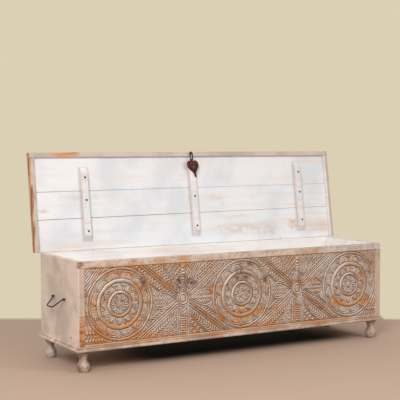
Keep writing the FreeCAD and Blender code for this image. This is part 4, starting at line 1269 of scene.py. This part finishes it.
@dataclass(frozen=True)
class CarvedFront:
    """The three carved boards of the front, how their wash is worn, and the highlight and shade painted on
    them.
    """

    front: float = -0.2075
    back: float = -0.1855
    half_length: float = 0.775
    levels: tuple[float, ...] = (0.110, 0.197, 0.321, 0.436)
    names: tuple[str, ...] = ("front_lower_board", "front_middle_board", "front_upper_board")
    spacing: float = 0.00142
    full: float = 4.0
    deepened: float = 1.35
    field_middle: float = 277.0
    field_foot: float = 118.0
    field_top: float = 436.0
    field_half: float = 772.0
    medallion_pitch: float = 610.0
    corner_rings: Pair = (34.0, 66.0)
    corner_ring_half: float = 2.3
    feather_pitch: float = 12.0
    ray_centre: float = 35.0
    ray_reach: float = 74.0
    waver: Triple = (0.8, 61.0, 53.0)
    margin: float = 2.2
    arris: Pair = (1.4, 2.2)
    close_reach: float = 2.4
    wide_reach: float = 6.5
    tilt_reach: float = 1.3
    medallion: Medallion = Medallion()
    boss: Boss = Boss()
    orange: tuple[Spot, ...] = (
        (-520, 128, 200, 20, 0.9), (-525, 152, 48, 16, 1.0), (-700, 150, 64, 34, 0.95),
        (-612, 182, 80, 18, 0.7), (-302, 160, 34, 46, 0.8), (-256, 150, 22, 34, 0.7),
        (-104, 178, 26, 22, 0.9), (-28, 136, 44, 34, 0.85), (-600, 412, 120, 24, 0.7),
        (-470, 370, 60, 46, 0.6), (-380, 340, 40, 24, 0.7), (-286, 424, 44, 14, 0.7),
        (-160, 306, 26, 18, 0.5), (-760, 240, 22, 24, 0.7), (-745, 300, 34, 60, 0.45),
        (105, 126, 90, 20, 1.0), (95, 186, 44, 28, 0.8), (302, 162, 34, 46, 0.75),
        (210, 180, 60, 24, 0.5), (415, 116, 90, 12, 0.9), (548, 192, 58, 22, 0.8),
        (620, 176, 90, 12, 0.5), (700, 186, 60, 26, 0.5), (150, 134, 60, 16, 0.8),
        (330, 313, 170, 7, 0.8), (-40, 314, 160, 5, 0.5), (300, 420, 90, 18, 0.4),
        (620, 372, 60, 12, 0.5), (672, 300, 18, 60, 0.4), (368, 350, 20, 26, 0.4),
    )
    dark: tuple[Spot, ...] = (
        (-326, 342, 14, 30, 0.85), (-268, 348, 34, 24, 0.7), (-300, 372, 30, 10, 0.5),
        (-503, 366, 14, 30, 0.7), (-14, 372, 34, 34, 0.55), (16, 352, 24, 18, 0.6),
        (46, 408, 24, 12, 0.5), (120, 335, 14, 16, 0.6), (-768, 345, 10, 26, 0.4),
        (385, 405, 30, 14, 0.3), (330, 345, 16, 14, 0.4), (670, 392, 14, 12, 0.35),
    )

    def height(self, x: Array, z: Array) -> Array:
        """Height of the carving above its ground, 0 to 4 mm.

        Args:
            x: places along the front, in millimetres.
            z: levels above the floor, in millimetres.

        Returns:
            The height.
        """
        sway, pitch_x, pitch_z = self.waver
        x, z = x + sway * ripple(x, z, pitch_x), z + sway * ripple(z, x, pitch_z)
        q = z - self.field_middle
        p = x - self.nearest(x)
        far = np.hypot(p, q)
        side = np.where(x < 0, -1.0, 1.0)
        between = self.boss.height(x - side * self.medallion_pitch / 2, q)
        corner = self.corner(self.field_half - np.abs(x), q)
        ground = np.where(np.abs(x) > self.medallion_pitch, corner, between)
        ground = np.where(far < self.medallion.reach + 2.0, 0.1, ground)
        return np.where(far < self.medallion.reach, self.medallion.height(p, q), ground)

    def nearest(self, x: Array) -> Array:
        """Middle of the medallion that is nearest to each point."""
        return np.clip(np.round(x / self.medallion_pitch), -1, 1) * self.medallion_pitch

    def corner(self, from_side: Array, q: Array) -> Array:
        """Height in the corners: quarter rings and feather strokes above, rays and braid below.

        Args:
            from_side: how far from the end of the field.
            q: how far above its middle.

        Returns:
            The height.
        """
        from_top = self.field_top - self.field_middle - q
        far = np.hypot(from_side, from_top)
        upper = 0.3 + 2.8 * rows((from_side + from_top * 0.8) / self.feather_pitch) ** 0.8
        for radius in self.corner_rings:
            ring = 3.4 * ridge(far - radius, self.corner_ring_half)
            upper = np.where(np.abs(far - radius) < self.corner_ring_half + 0.3, ring, upper)
        down = q + self.ray_centre
        rays = 0.3 + 2.8 * rows(np.arctan2(from_side + 6.0, -down) * 4.0) ** 0.8
        lower = np.where(np.hypot(from_side, down) < self.ray_reach, rays, braid(from_side, q))
        return np.where(q > 0, upper, lower)

    def relief(self, low: float, high: float) -> Relief:
        """The relief of one board, between two levels in millimetres.

        Args:
            low: level of its lower edge.
            high: level of its upper edge.

        Returns:
            The relief.
        """

        def cut(x: Array, z: Array) -> dict[str, Array]:
            """Depth, rubbing and painted light at points of the board's face.

            Args:
                x: places along the front, in millimetres.
                z: levels above the floor, in millimetres.

            Returns:
                The depth, and the shares of rubbing, soiling and painted highlight and shade, by name.
            """
            height = self.framed(x, z)
            near = np.minimum(z - low, high - z)
            arris = self.arris[0] * (1.0 - step(near, 0.0, self.arris[1]))
            depth = (self.full - height) * self.deepened + arris + 0.18 * ripple(x, z, 17.0) + 0.15
            deepest = self.full * self.deepened + self.arris[0]
            return {"depth": np.clip(depth, 0.0, deepest), **self.wear_and_painted_light(x, z, height)}

        return cut

    def framed(self, x: Array, z: Array) -> Array:
        """Height with the plain border below, the lip under the rail and the margins at both ends.

        Args:
            x: places along the front, in millimetres.
            z: levels above the floor, in millimetres.

        Returns:
            The height.
        """
        height = self.height(x, z)
        margin = np.minimum(self.field_half - np.abs(x), z - self.field_foot)
        height = np.where(margin < self.margin, 0.2, height)
        height = np.where(margin < 0.0, self.full - 0.3, height)
        lip = self.field_top - z
        return np.where(lip < 3.2, np.where(lip < 2.0, 3.4, 0.5), height)

    def wear_and_painted_light(self, x: Array, z: Array, height: Array) -> dict[str, Array]:
        """Where the wash is rubbed, soiled or sooty, and where highlight and shade are painted on, at points
        of the face.

        Args:
            x: places along the front, in millimetres.
            z: levels above the floor, in millimetres.
            height: height of the carving there.

        Returns:
            The shares of rubbing, soiling and painted highlight and shade, by name.
        """
        close, wide = self.around(x, z, self.close_reach, 0.0), self.around(x, z, self.wide_reach, 0.5)
        tilt = self.tilt_reach
        # how far the surface is turned up and to the left, towards the main lamp
        lean = self.framed(x + tilt, z - tilt) - self.framed(x - tilt, z + tilt)
        p, q = x - self.nearest(x), z - self.field_middle
        far = np.hypot(p, q) + 0.1
        thick, inner = self.medallion.thick_ring, self.medallion.inner_ring
        ring = ridge(far - thick.radius, thick.half + 2.5) + ridge(far - inner.radius, inner.half + 2.0)
        # the side of each ring towards the main lamp
        bright_side = np.clip((q - p) / far, 0.0, 1.0)
        underside = np.clip(-q / far, 0.0, 1.0) ** 1.5
        rubbed = self.rubbed(x, z) + ring * (0.1 + 0.65 * underside - 0.3 * bright_side)
        return {
            "crest": np.clip((height - 0.35 * close - 0.65 * wide + 0.3) / 1.7, -1.0, 1.0) - 0.1 * ring,
            # dark at the foot of the cuts' walls: soiling there, and painted shade for cuts deeper than the
            # relief
            "line": np.clip((close - height - 0.1) / 0.45, 0.0, 1.0),
            "high": np.clip(height / self.full, 0.0, 1.0) - 0.15 * ring,
            "rubbed": np.clip(rubbed, 0.0, 1.0),
            "soot": np.clip(self.spots(x, z, self.dark), 0.0, 1.0),
            # painted highlight on flanks turned to the main lamp, painted shade on those turned from it, and
            # painted light over the left part of the front
            "lit": np.clip(lean / 2.1 + 0.12 * step(-x, 200.0, 500.0), -1.0, 1.0),
            # rings darkened, less on the side towards the lamp: old darkened wash, and painted shade away
            # from the light
            "aged_and_shaded": ring * (0.8 - 0.65 * bright_side),
        }

    def rubbed(self, x: Array, z: Array) -> Array:
        """How far the wash is rubbed off, apart from the rings.

        Args:
            x: places along the front, in millimetres.
            z: levels above the floor, in millimetres.

        Returns:
            How far, 0 to about 1.
        """
        p, q = x - self.nearest(x), z - self.field_middle
        side = np.where(x < 0, -1.0, 1.0) * self.medallion_pitch / 2
        total = 0.12 + self.spots(x, z, self.orange) + 0.14 * ripple(x + 40, z, 140.0) - x * 0.0001
        total += 0.3 * self.boss.bands(x - side, q) * (np.hypot(p, q) + 0.1 > self.medallion.reach)
        strip = step(self.field_foot + 5.0 - z, 0.0, 8.0) * step(x, -680.0, -540.0)
        total += strip * (0.3 + 0.35 * ripple(x, 3.0 * z, 90.0))
        total += 0.45 * ridge(z - self.field_top, 5.0) * step(ripple(x, 0 * z, 210.0), -0.5, 0.3)
        for joint in self.levels[1:3]:
            total += 0.35 * ridge(z - joint / MM, 5.0) * step(ripple(x, 0 * z, 300.0), -0.2, 0.5)
        return total

    def around(self, x: Array, z: Array, reach: float, start: float) -> Array:
        """Mean height of six places at a reach about each point, the first of them at an angle.

        Args:
            x: places along the front, in millimetres.
            z: levels above the floor, in millimetres.
            reach: how far off the places are.
            start: angle of the first of them.

        Returns:
            The mean height.
        """
        angles = [start + index * math.pi / 3 for index in range(6)]
        places = [(x + reach * math.cos(angle), z + reach * math.sin(angle)) for angle in angles]
        return sum(self.framed(*place) for place in places) / len(places)

    @staticmethod
    def spots(x: Array, z: Array, table: Sequence[Spot]) -> Array:
        """Soft ragged spots, each given by its middle, half length, half height and strength.

        Args:
            x: places along the front, in millimetres.
            z: levels above the floor, in millimetres.
            table: the spots.

        Returns:
            The strongest spot at each point.
        """
        total = np.zeros_like(x)
        ragged = 0.4 * ripple(x, z, 23.0) + 0.3 * ripple(z, x, 11.0)
        for middle_x, middle_z, half_x, half_z, strength in table:
            far = ((x - middle_x) / half_x) ** 2 + ((z - middle_z) / half_z) ** 2 + ragged
            total = np.maximum(total, strength * np.exp(-np.clip(far, 0.0, None) * 1.1))
        return total

    def build(self) -> None:
        """Make the three boards."""
        material = CarvedWood().material()
        for name, low, high in zip(self.names, self.levels, self.levels[1:]):
            corner_low = Vector((-self.half_length, self.front, low))
            corner_high = Vector((self.half_length, self.back, high))
            relief = self.relief(low / MM, high / MM)
            mesh = relief_board("carved_" + name, corner_low, corner_high, self.spacing, relief)
            add_piece("carved_" + name, mesh, material, Body.CASE, name)


@dataclass(frozen=True)
class TopRail:
    """The rail along the top of the front: dented, and faintly carved at its right end."""

    node: str = "front_top_rail"
    spacing: float = 0.0016
    corner_radius: float = 3.0
    arris: float = 1.6
    carved_from: float = 470.0
    stroke_size: Pair = (9.0, 9.5)
    dark: tuple[Spot, ...] = ((-792, 452, 12, 14, 0.9), (-740, 440, 30, 4, 0.4))
    orange: tuple[Spot, ...] = (
        (-600, 440, 190, 5, 0.7), (-540, 450, 50, 10, 0.4), (-420, 444, 90, 7, 0.6),
        (-290, 450, 60, 10, 0.55), (-130, 443, 120, 6, 0.35), (90, 442, 160, 5, 0.5),
        (330, 448, 90, 8, 0.35),
    )

    def cut(self, x: Array, z: Array) -> dict[str, Array]:
        """Depth, rubbing and painted light at points of the rail's face.

        Args:
            x: places along the front, in millimetres.
            z: levels above the floor, in millimetres.

        Returns:
            The depth, and the shares of rubbing, soiling and painted highlight and shade, by name.
        """
        low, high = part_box(self.node)
        turned = rounding(high.x / MM - np.abs(x), self.corner_radius)
        eased = rounding(np.minimum(z - low.z / MM, high.z / MM - z), self.arris)
        dents = 0.25 + 0.25 * ripple(x, z, 37.0) * ripple(z, x, 90.0)
        within = step(x, self.carved_from, self.carved_from + 60.0)
        length, lane = self.stroke_size
        strokes = rows(x / length + np.floor(z / lane) * 0.5) * rows(z / lane) * within
        streaks = np.clip(ripple(x, 7.0 * z, 83.0) * ripple(z * 5.0, x, 47.0) - 0.15, 0.0, 1.0)
        return {
            "depth": np.maximum(turned, eased) + dents + 1.1 * strokes,
            "crest": np.clip(0.1 - strokes * 0.5, -1.0, 1.0),
            "high": 0.3 - 0.3 * step(x, 200.0, 700.0),
            "rubbed": np.clip(CarvedFront.spots(x, z, self.orange) + 0.1 * ripple(x, z, 120.0), 0.0, 1.0),
            "soot": CarvedFront.spots(x, z, self.dark),
            # dark in the carved strokes, soiling and painted shade as on the carved front, and dark streaks
            # along the grain
            "line": 0.5 * strokes + 0.45 * streaks,
            # painted highlight between the carved strokes and painted shade in them, with slow paler patches
            "lit": 0.1 + 0.1 * ripple(x, z, 170.0) + within * (0.45 - strokes),
        }

    def build(self) -> None:
        """Make the rail."""
        low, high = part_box(self.node)
        mesh = relief_board("worn_top_rail", low, high, self.spacing, self.cut)
        finish = CarvedWood("rail_wood", paint(213, 199, 188), paint(184, 171, 160), bare_share=0.0)
        add_piece("worn_top_rail", mesh, finish.material(), Body.CASE, self.node)


@dataclass(frozen=True)
class Case:
    """Ends, back, floor, plinth and feet."""

    along_x: Triple = (3.0, 60.0, 60.0)
    along_y: Triple = (60.0, 4.0, 60.0)
    front_wash: tuple[Colour, Colour] = (paint(212, 196, 182), paint(166, 144, 127))
    # the plinth's ends take a paler wash than its front and back: painted light on the ends
    painted_light_end_wash: tuple[Colour, Colour] = (paint(250, 236, 224), paint(196, 178, 164))
    ease: float = 0.0012
    ends: tuple[str, ...] = ("left_end_board", "right_end_board")
    long_boards: tuple[str, ...] = (
        "back_lower_board", "back_upper_board", "floor_board_front", "floor_board_middle", "floor_board_back",
    )

    def build(self) -> None:
        """Ease the boards and dress the plinth and the feet."""
        length_wood = CaseWood("length_wood", self.along_x).material()
        end_wood = CaseWood("end_wood", self.along_y).material()
        for node in self.long_boards + self.ends:
            wood = end_wood if node in self.ends else length_wood
            add_piece("worn_" + node, eased_copy(node, self.ease), wood, Body.CASE, node)
        plinth_long = TurnedWood("plinth_long_wood", self.along_x, *self.front_wash)
        # the plinth's ends, with painted light
        painted_light_plinth_ends = TurnedWood("plinth_short_wood", self.along_y, *self.painted_light_end_wash)
        dress(plinth_long.material(), "plinth_front", "plinth_back")
        dress(painted_light_plinth_ends.material(), "plinth_left", "plinth_right")
        dress(TurnedWood().material(), "foot_", "corner_block")
        dress(end_wood, "floor_bearer")


@dataclass(frozen=True)
class Lid:
    """The lid's boards, rim and battens, eased and washed."""

    ease: float = 0.0011
    rim_ease: float = 0.0008
    notch: Pair = (0.0036, 0.0060)
    clearance: float = 0.0004

    def build(self) -> None:
        """Make the lid's pieces."""
        long_wood = LidWood().material()
        upright = LidWood("lid_upright_wood", (60.0, 60.0, 3.0), (38.0, 38.0, 4.0)).material()
        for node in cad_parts:
            if not node.startswith("lid_") or node == "lid_eye":
                continue
            slot, width = (Slot.LIMEWASHED, self.rim_ease) if "rim" in node else (Slot.WHITE, self.ease)
            is_upright = "batten" in node or node in ("lid_rim_left", "lid_rim_right")
            wood = upright if is_upright else long_wood
            mesh = eased_copy(node, width)
            self.clear_hinges(mesh)
            add_piece("worn_" + node, mesh, wood, Body.LID, node)

    def clear_hinges(self, mesh: bpy.types.Mesh) -> None:
        """Take the floors of the hinge notches back, so that they pass the hinges' lower straps.

        Args:
            mesh: mesh of one of the lid's boards.
        """
        for vertex in mesh.vertices:
            along = LID.on_lid(vertex.co.y, vertex.co.z)[1]
            if self.notch[0] < along < self.notch[1]:
                vertex.co += Vector((0.0, -LID.cosine, LID.sine)) * self.clearance


@dataclass(frozen=True)
class Ironwork:
    """Nails, screws, hinges, hasp and bails."""

    finishes: tuple[tuple[str, ForgedIron], ...] = (
        ("hasp", ForgedIron("hasp_iron", dark=paint(40, 24, 20), brown=paint(74, 40, 31), rusty=0.45)),
        ("lid_eye", ForgedIron("eye_iron", dark=paint(40, 24, 20), brown=paint(74, 40, 31), rusty=0.3)),
        ("floor_nails", ForgedIron("nail_iron", wash=paint(190, 168, 152), washed_behind=-0.10)),
        ("hinge", ForgedIron("hinge_iron", rusty=0.3, washed_in_front_of=0.214)),
        ("bail", ForgedIron("bail_iron", rusty=0.15)),
    )
    screws: ForgedIron = ForgedIron("screw_iron", dark=paint(14, 11, 10), brown=paint(26, 20, 18), rusty=0.0)
    hidden_screw: Pair = (0.05, 0.76)
    screw_lift: Triple = (0.0, 0.0047, 0.0296)

    def build(self) -> None:
        """Dress the ironwork."""
        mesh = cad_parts["batten_screws"].data.copy()
        for vertex in mesh.vertices:
            if abs(vertex.co.x) < self.hidden_screw[0] and vertex.co.z > self.hidden_screw[1]:
                vertex.co += Vector(self.screw_lift)
        add_piece("batten_screw_heads", mesh, self.screws.material(), Body.LID, "batten_screws")
        for word, finish in self.finishes:
            dress(finish.material(), word)


@dataclass(frozen=True)
class HaspLeaf:
    """The hasp: a forged heart with a raised rim round edge and slot, a tail, and the link's knuckle."""

    wire_radius: float = 2.4
    segments: int = 144
    knuckle_segments: int = 32
    middle: Pair = (5.6, 24.35)
    slot_half_length: float = 13.0
    slot_half_width: float = 4.5
    slot_lean: float = math.radians(-16.0)
    edge: tuple[Pair, ...] = (
        (2.5, 4.0), (10.1, 2.6), (20.7, 2.0), (29.8, 6.6), (35.9, 16.9), (36.8, 29.2), (32.8, 40.6),
        (25.2, 52.9), (20.4, 62.2), (19.5, 70.4), (21.5, 79.7), (20.4, 84.3), (14.3, 84.8), (11.2, 75.6),
        (6.6, 65.3), (-0.1, 56.5), (-10.9, 48.3), (-21.4, 37.5), (-27.3, 25.1), (-26.3, 13.8), (-19.0, 5.0),
        (-9.9, 3.0), (-2.5, 4.0),
    )
    profile: tuple[Pair, ...] = (
        (0.0, 1.25), (0.0, -1.4), (0.06, -2.3), (0.16, -1.7), (0.5, -1.4), (0.8, -1.5), (0.88, -2.7),
        (0.96, -2.6), (1.0, -1.3), (1.0, 1.25), (0.0, 1.25),
    )
    knuckle: tuple[Pair, ...] = ((2.46, -2.5), (5.4, -2.5), (5.4, 2.5), (2.46, 2.5), (2.46, -2.5))

    def outer(self, turn: float) -> float:
        """Distance from the slot's middle to the leaf's edge, one way round.

        Args:
            turn: way round the slot's middle.

        Returns:
            The distance.
        """
        corners = np.array(self.edge + self.edge[:1]) - np.array(self.middle)
        share = np.linspace(0.0, 1.0, 12)[:-1, None]
        spots = np.concatenate([first + (last - first) * share for first, last in zip(corners, corners[1:])])
        angles = np.arctan2(spots[:, 1], spots[:, 0])
        order = np.argsort(angles)
        return float(np.interp(turn, angles[order], np.hypot(*spots.T)[order], period=2 * math.pi))

    def inner(self, turn: float) -> float:
        """Distance from the slot's middle to its edge, one way round.

        Args:
            turn: way round the slot's middle.

        Returns:
            The distance.
        """
        along, across = abs(math.sin(turn - self.slot_lean)), abs(math.cos(turn - self.slot_lean))
        square = self.slot_half_width / max(across, 1e-6)
        return min(square, self.slot_half_length / max(along, 1e-6))

    def leaf_point(self, turn: float, share: float, up: float) -> Triple:
        """Point of the leaf: to the side, down from the link's foot, and out of the lid, in millimetres.

        Args:
            turn: way round the slot's middle.
            share: place from the slot's edge, 0, to the leaf's edge, 1.
            up: how far out of the lid.

        Returns:
            The point.
        """
        near = self.inner(turn)
        reach = near + (self.outer(turn) - near) * share
        return self.middle[0] + reach * math.cos(turn), self.middle[1] + reach * math.sin(turn), up

    def knuckle_point(self, turn: float, radius: float, side: float) -> Triple:
        """Point of the knuckle, in the same way."""
        return side, radius * math.sin(turn), radius * math.cos(turn)

    def ring(self, profile: Sequence[Pair], segments: int,
             point_at: Callable[..., Triple]) -> bmesh.types.BMesh:
        """Bend a grid round into a closed ring.

        Args:
            profile: pairs of numbers along the ring's section, the last the same as the first.
            segments: how many steps there are round it.
            point_at: gives a place from the way round and one pair of the profile.

        Returns:
            The ring, in the model's frame.
        """
        work = bmesh.new()
        bmesh.ops.create_grid(work, x_segments=segments, y_segments=len(profile) - 1, size=0.5)
        low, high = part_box("hasp_link")
        middle = (low + high) / 2
        stand = LID.on_lid(middle.y, middle.z)[0]
        foot = LID.on_lid(middle.y, low.z)[1] + self.wire_radius * MM
        for vertex in work.verts:
            pair = profile[round((vertex.co.y + 0.5) * (len(profile) - 1))]
            turn = (vertex.co.x + 0.5) * 2 * math.pi - math.pi
            x, down, up = (value * MM for value in point_at(turn, *pair))
            vertex.co = (x, *LID.off_lid(up + stand, foot - down))
        bmesh.ops.remove_doubles(work, verts=work.verts, dist=1e-5)
        bmesh.ops.recalc_face_normals(work, faces=work.faces)
        return work

    def build(self) -> None:
        """Make the hasp."""
        mesh = meshed(self.ring(self.profile, self.segments, self.leaf_point), "hasp_leaf")
        work = self.ring(self.knuckle, self.knuckle_segments, self.knuckle_point)
        work.from_mesh(mesh)
        work.to_mesh(mesh)
        work.free()
        finish = ForgedIron("leaf_iron", dark=paint(34, 17, 12), brown=paint(104, 48, 26), rusty=0.6)
        add_piece("hasp_leaf", mesh, finish.material(), Body.HASP, "hasp_plate")


# studio

@dataclass(frozen=True)
class Studio:
    """Plain pale floor with a painted shadow under the chest, backdrop colour, soft lamps and the camera."""

    backdrop: Colour = paint(219, 208, 180)
    floor: Colour = paint(196, 170, 151)
    # colour of the painted shadow under the chest
    painted_floor_shadow: Colour = paint(6, 3, 1)
    floor_half: float = 30.0
    # the painted shadow's middle, half length, front, back, and the softness of its edges
    under_middle: float = 0.10
    under_half: float = 0.74
    under_front: float = -0.21
    under_back: float = 0.34
    under_fade: Triple = (0.32, 0.17, 0.14)
    wall_line: float = 5.52
    wall_fade: float = 0.10
    camera_at: Triple = (-2.51776, -4.10419, 0.96143)
    yaw: float = math.radians(30.491)
    pitch: float = math.radians(3.25)
    roll: float = math.radians(0.068)
    focal_pixels: float = 1037.08
    picture_pixels: float = 400.0
    sensor: float = 36.0
    low_sky: Colour = (0.0, 0.0, 0.0, 1.0)
    sky: Colour = (0.64, 0.63, 0.62, 1.0)
    dome: Pair = (-0.05, 0.55)
    aim: Triple = (0.0, 0.0, 0.4)
    lamps: tuple[tuple[str, Triple, float, float], ...] = (
        ("left_lamp", (-3.6, -3.7, 3.2), 1.7, 170.0),
        ("right_lamp", (2.4, -4.4, 2.7), 1.4, 64.0),
    )

    def build(self) -> None:
        """Make the floor, the lamps and the camera."""
        self.make_world()
        self.make_floor()
        for lamp in self.lamps:
            self.make_lamp(*lamp)
        self.make_camera()
        bpy.context.scene.view_settings.view_transform = "Standard"

    def make_world(self) -> None:
        """Soft light from above, and the backdrop's colour for the camera and for reflections."""
        bench = Bench("studio_air", is_air=True)
        rays = bench.node("ShaderNodeLightPath", {}, {}).outputs
        seen = bench.sum("MAXIMUM", *(Signal(bench, rays[f"Is {kind} Ray"]) for kind in ("Camera", "Glossy")))
        way = Signal(bench, bench.node("ShaderNodeTexCoord", {}, {}).outputs["Generated"])
        air = bench.mix(bench.axes(way)[2].between(*self.dome), self.low_sky, self.sky)
        paper = bench.node("ShaderNodeBackground", {}, {"Color": bench.mix(seen, air, self.backdrop)})
        bench.node("ShaderNodeOutputWorld", {}, {"Surface": Signal(bench, paper.outputs[0])})
        bpy.context.scene.world = bench.owner

    def make_floor(self) -> None:
        """A plain floor with a painted shadow under the chest, which passes into the backdrop's colour behind
        the chest.
        """
        work = bmesh.new()
        bmesh.ops.create_grid(work, x_segments=1, y_segments=1, size=self.floor_half)
        mesh = meshed(work, "floor")
        floor = placed("floor", mesh)
        bench = Bench("floor_paint")
        x, y, _ = bench.axes(bench.place())
        deep = (x - self.camera_at[0]) * math.sin(self.yaw) + (y - self.camera_at[1]) * math.cos(self.yaw)
        wall = deep.between(self.wall_line, self.wall_line + self.wall_fade)
        rays = bench.node("ShaderNodeLightPath", {}, {})
        seen = Signal(bench, rays.outputs["Is Camera Ray"])
        # the painted shadow under the chest
        margins = (self.under_half - abs(x - self.under_middle), y - self.under_front, self.under_back - y)
        ends, front, back = (margin.between(0.0, fade) for margin, fade in zip(margins, self.under_fade))
        floor_with_shadow = bench.mix(ends * front * back, self.floor, self.painted_floor_shadow)
        inputs = {"Base Color": floor_with_shadow, "Roughness": 0.9, "Specular IOR Level": 0.1}
        matt = bench.node("ShaderNodeBsdfPrincipled", {}, inputs)
        glow = bench.node("ShaderNodeEmission", {}, {"Color": self.backdrop, "Strength": 1.0})
        inputs = {0: wall * seen, 1: Signal(bench, matt.outputs[0]), 2: Signal(bench, glow.outputs[0])}
        mixer = bench.node("ShaderNodeMixShader", {}, inputs)
        bench.node("ShaderNodeOutputMaterial", {}, {"Surface": Signal(bench, mixer.outputs[0])})
        mesh.materials.append(bench.owner)

    def make_lamp(self, name: str, at: Sequence[float], size: float, power: float) -> None:
        """A square soft lamp that points at the chest.

        Args:
            name: name of the lamp.
            at: where it hangs.
            size: side of its square.
            power: its power in watts.
        """
        light = bpy.data.lights.new(name, "AREA")
        light.size, light.energy = size, power
        lamp = placed(name, light)
        lamp.location = at
        lamp.rotation_euler = (Vector(self.aim) - Vector(at)).to_track_quat("-Z", "Y").to_euler()

    def make_camera(self) -> None:
        """The camera, where the photograph was taken from."""
        data = bpy.data.cameras.new("camera")
        data.sensor_width = self.sensor
        data.lens = self.focal_pixels / self.picture_pixels * self.sensor
        camera = placed("camera", data)
        ahead = Vector((
            math.sin(self.yaw) * math.cos(self.pitch),
            math.cos(self.yaw) * math.cos(self.pitch),
            -math.sin(self.pitch),
        ))
        level = Vector((math.cos(self.yaw), -math.sin(self.yaw), 0.0))
        upright = level.cross(ahead)
        right = level * math.cos(self.roll) + upright * math.sin(self.roll)
        up = upright * math.cos(self.roll) - level * math.sin(self.roll)
        turn = Matrix((right, up, -ahead)).transposed().to_4x4()
        camera.matrix_world = Matrix.Translation(self.camera_at) @ turn
        bpy.context.scene.camera = camera


def main() -> None:
    """Make every piece."""
    logging.basicConfig(level=logging.INFO, format="%(name)s: %(message)s")
    for assembly in (Studio(), CarvedFront(), TopRail(), Case(), Lid(), Ironwork(), HaspLeaf()):
        assembly.build()


if __name__ == "__main__":
    main()
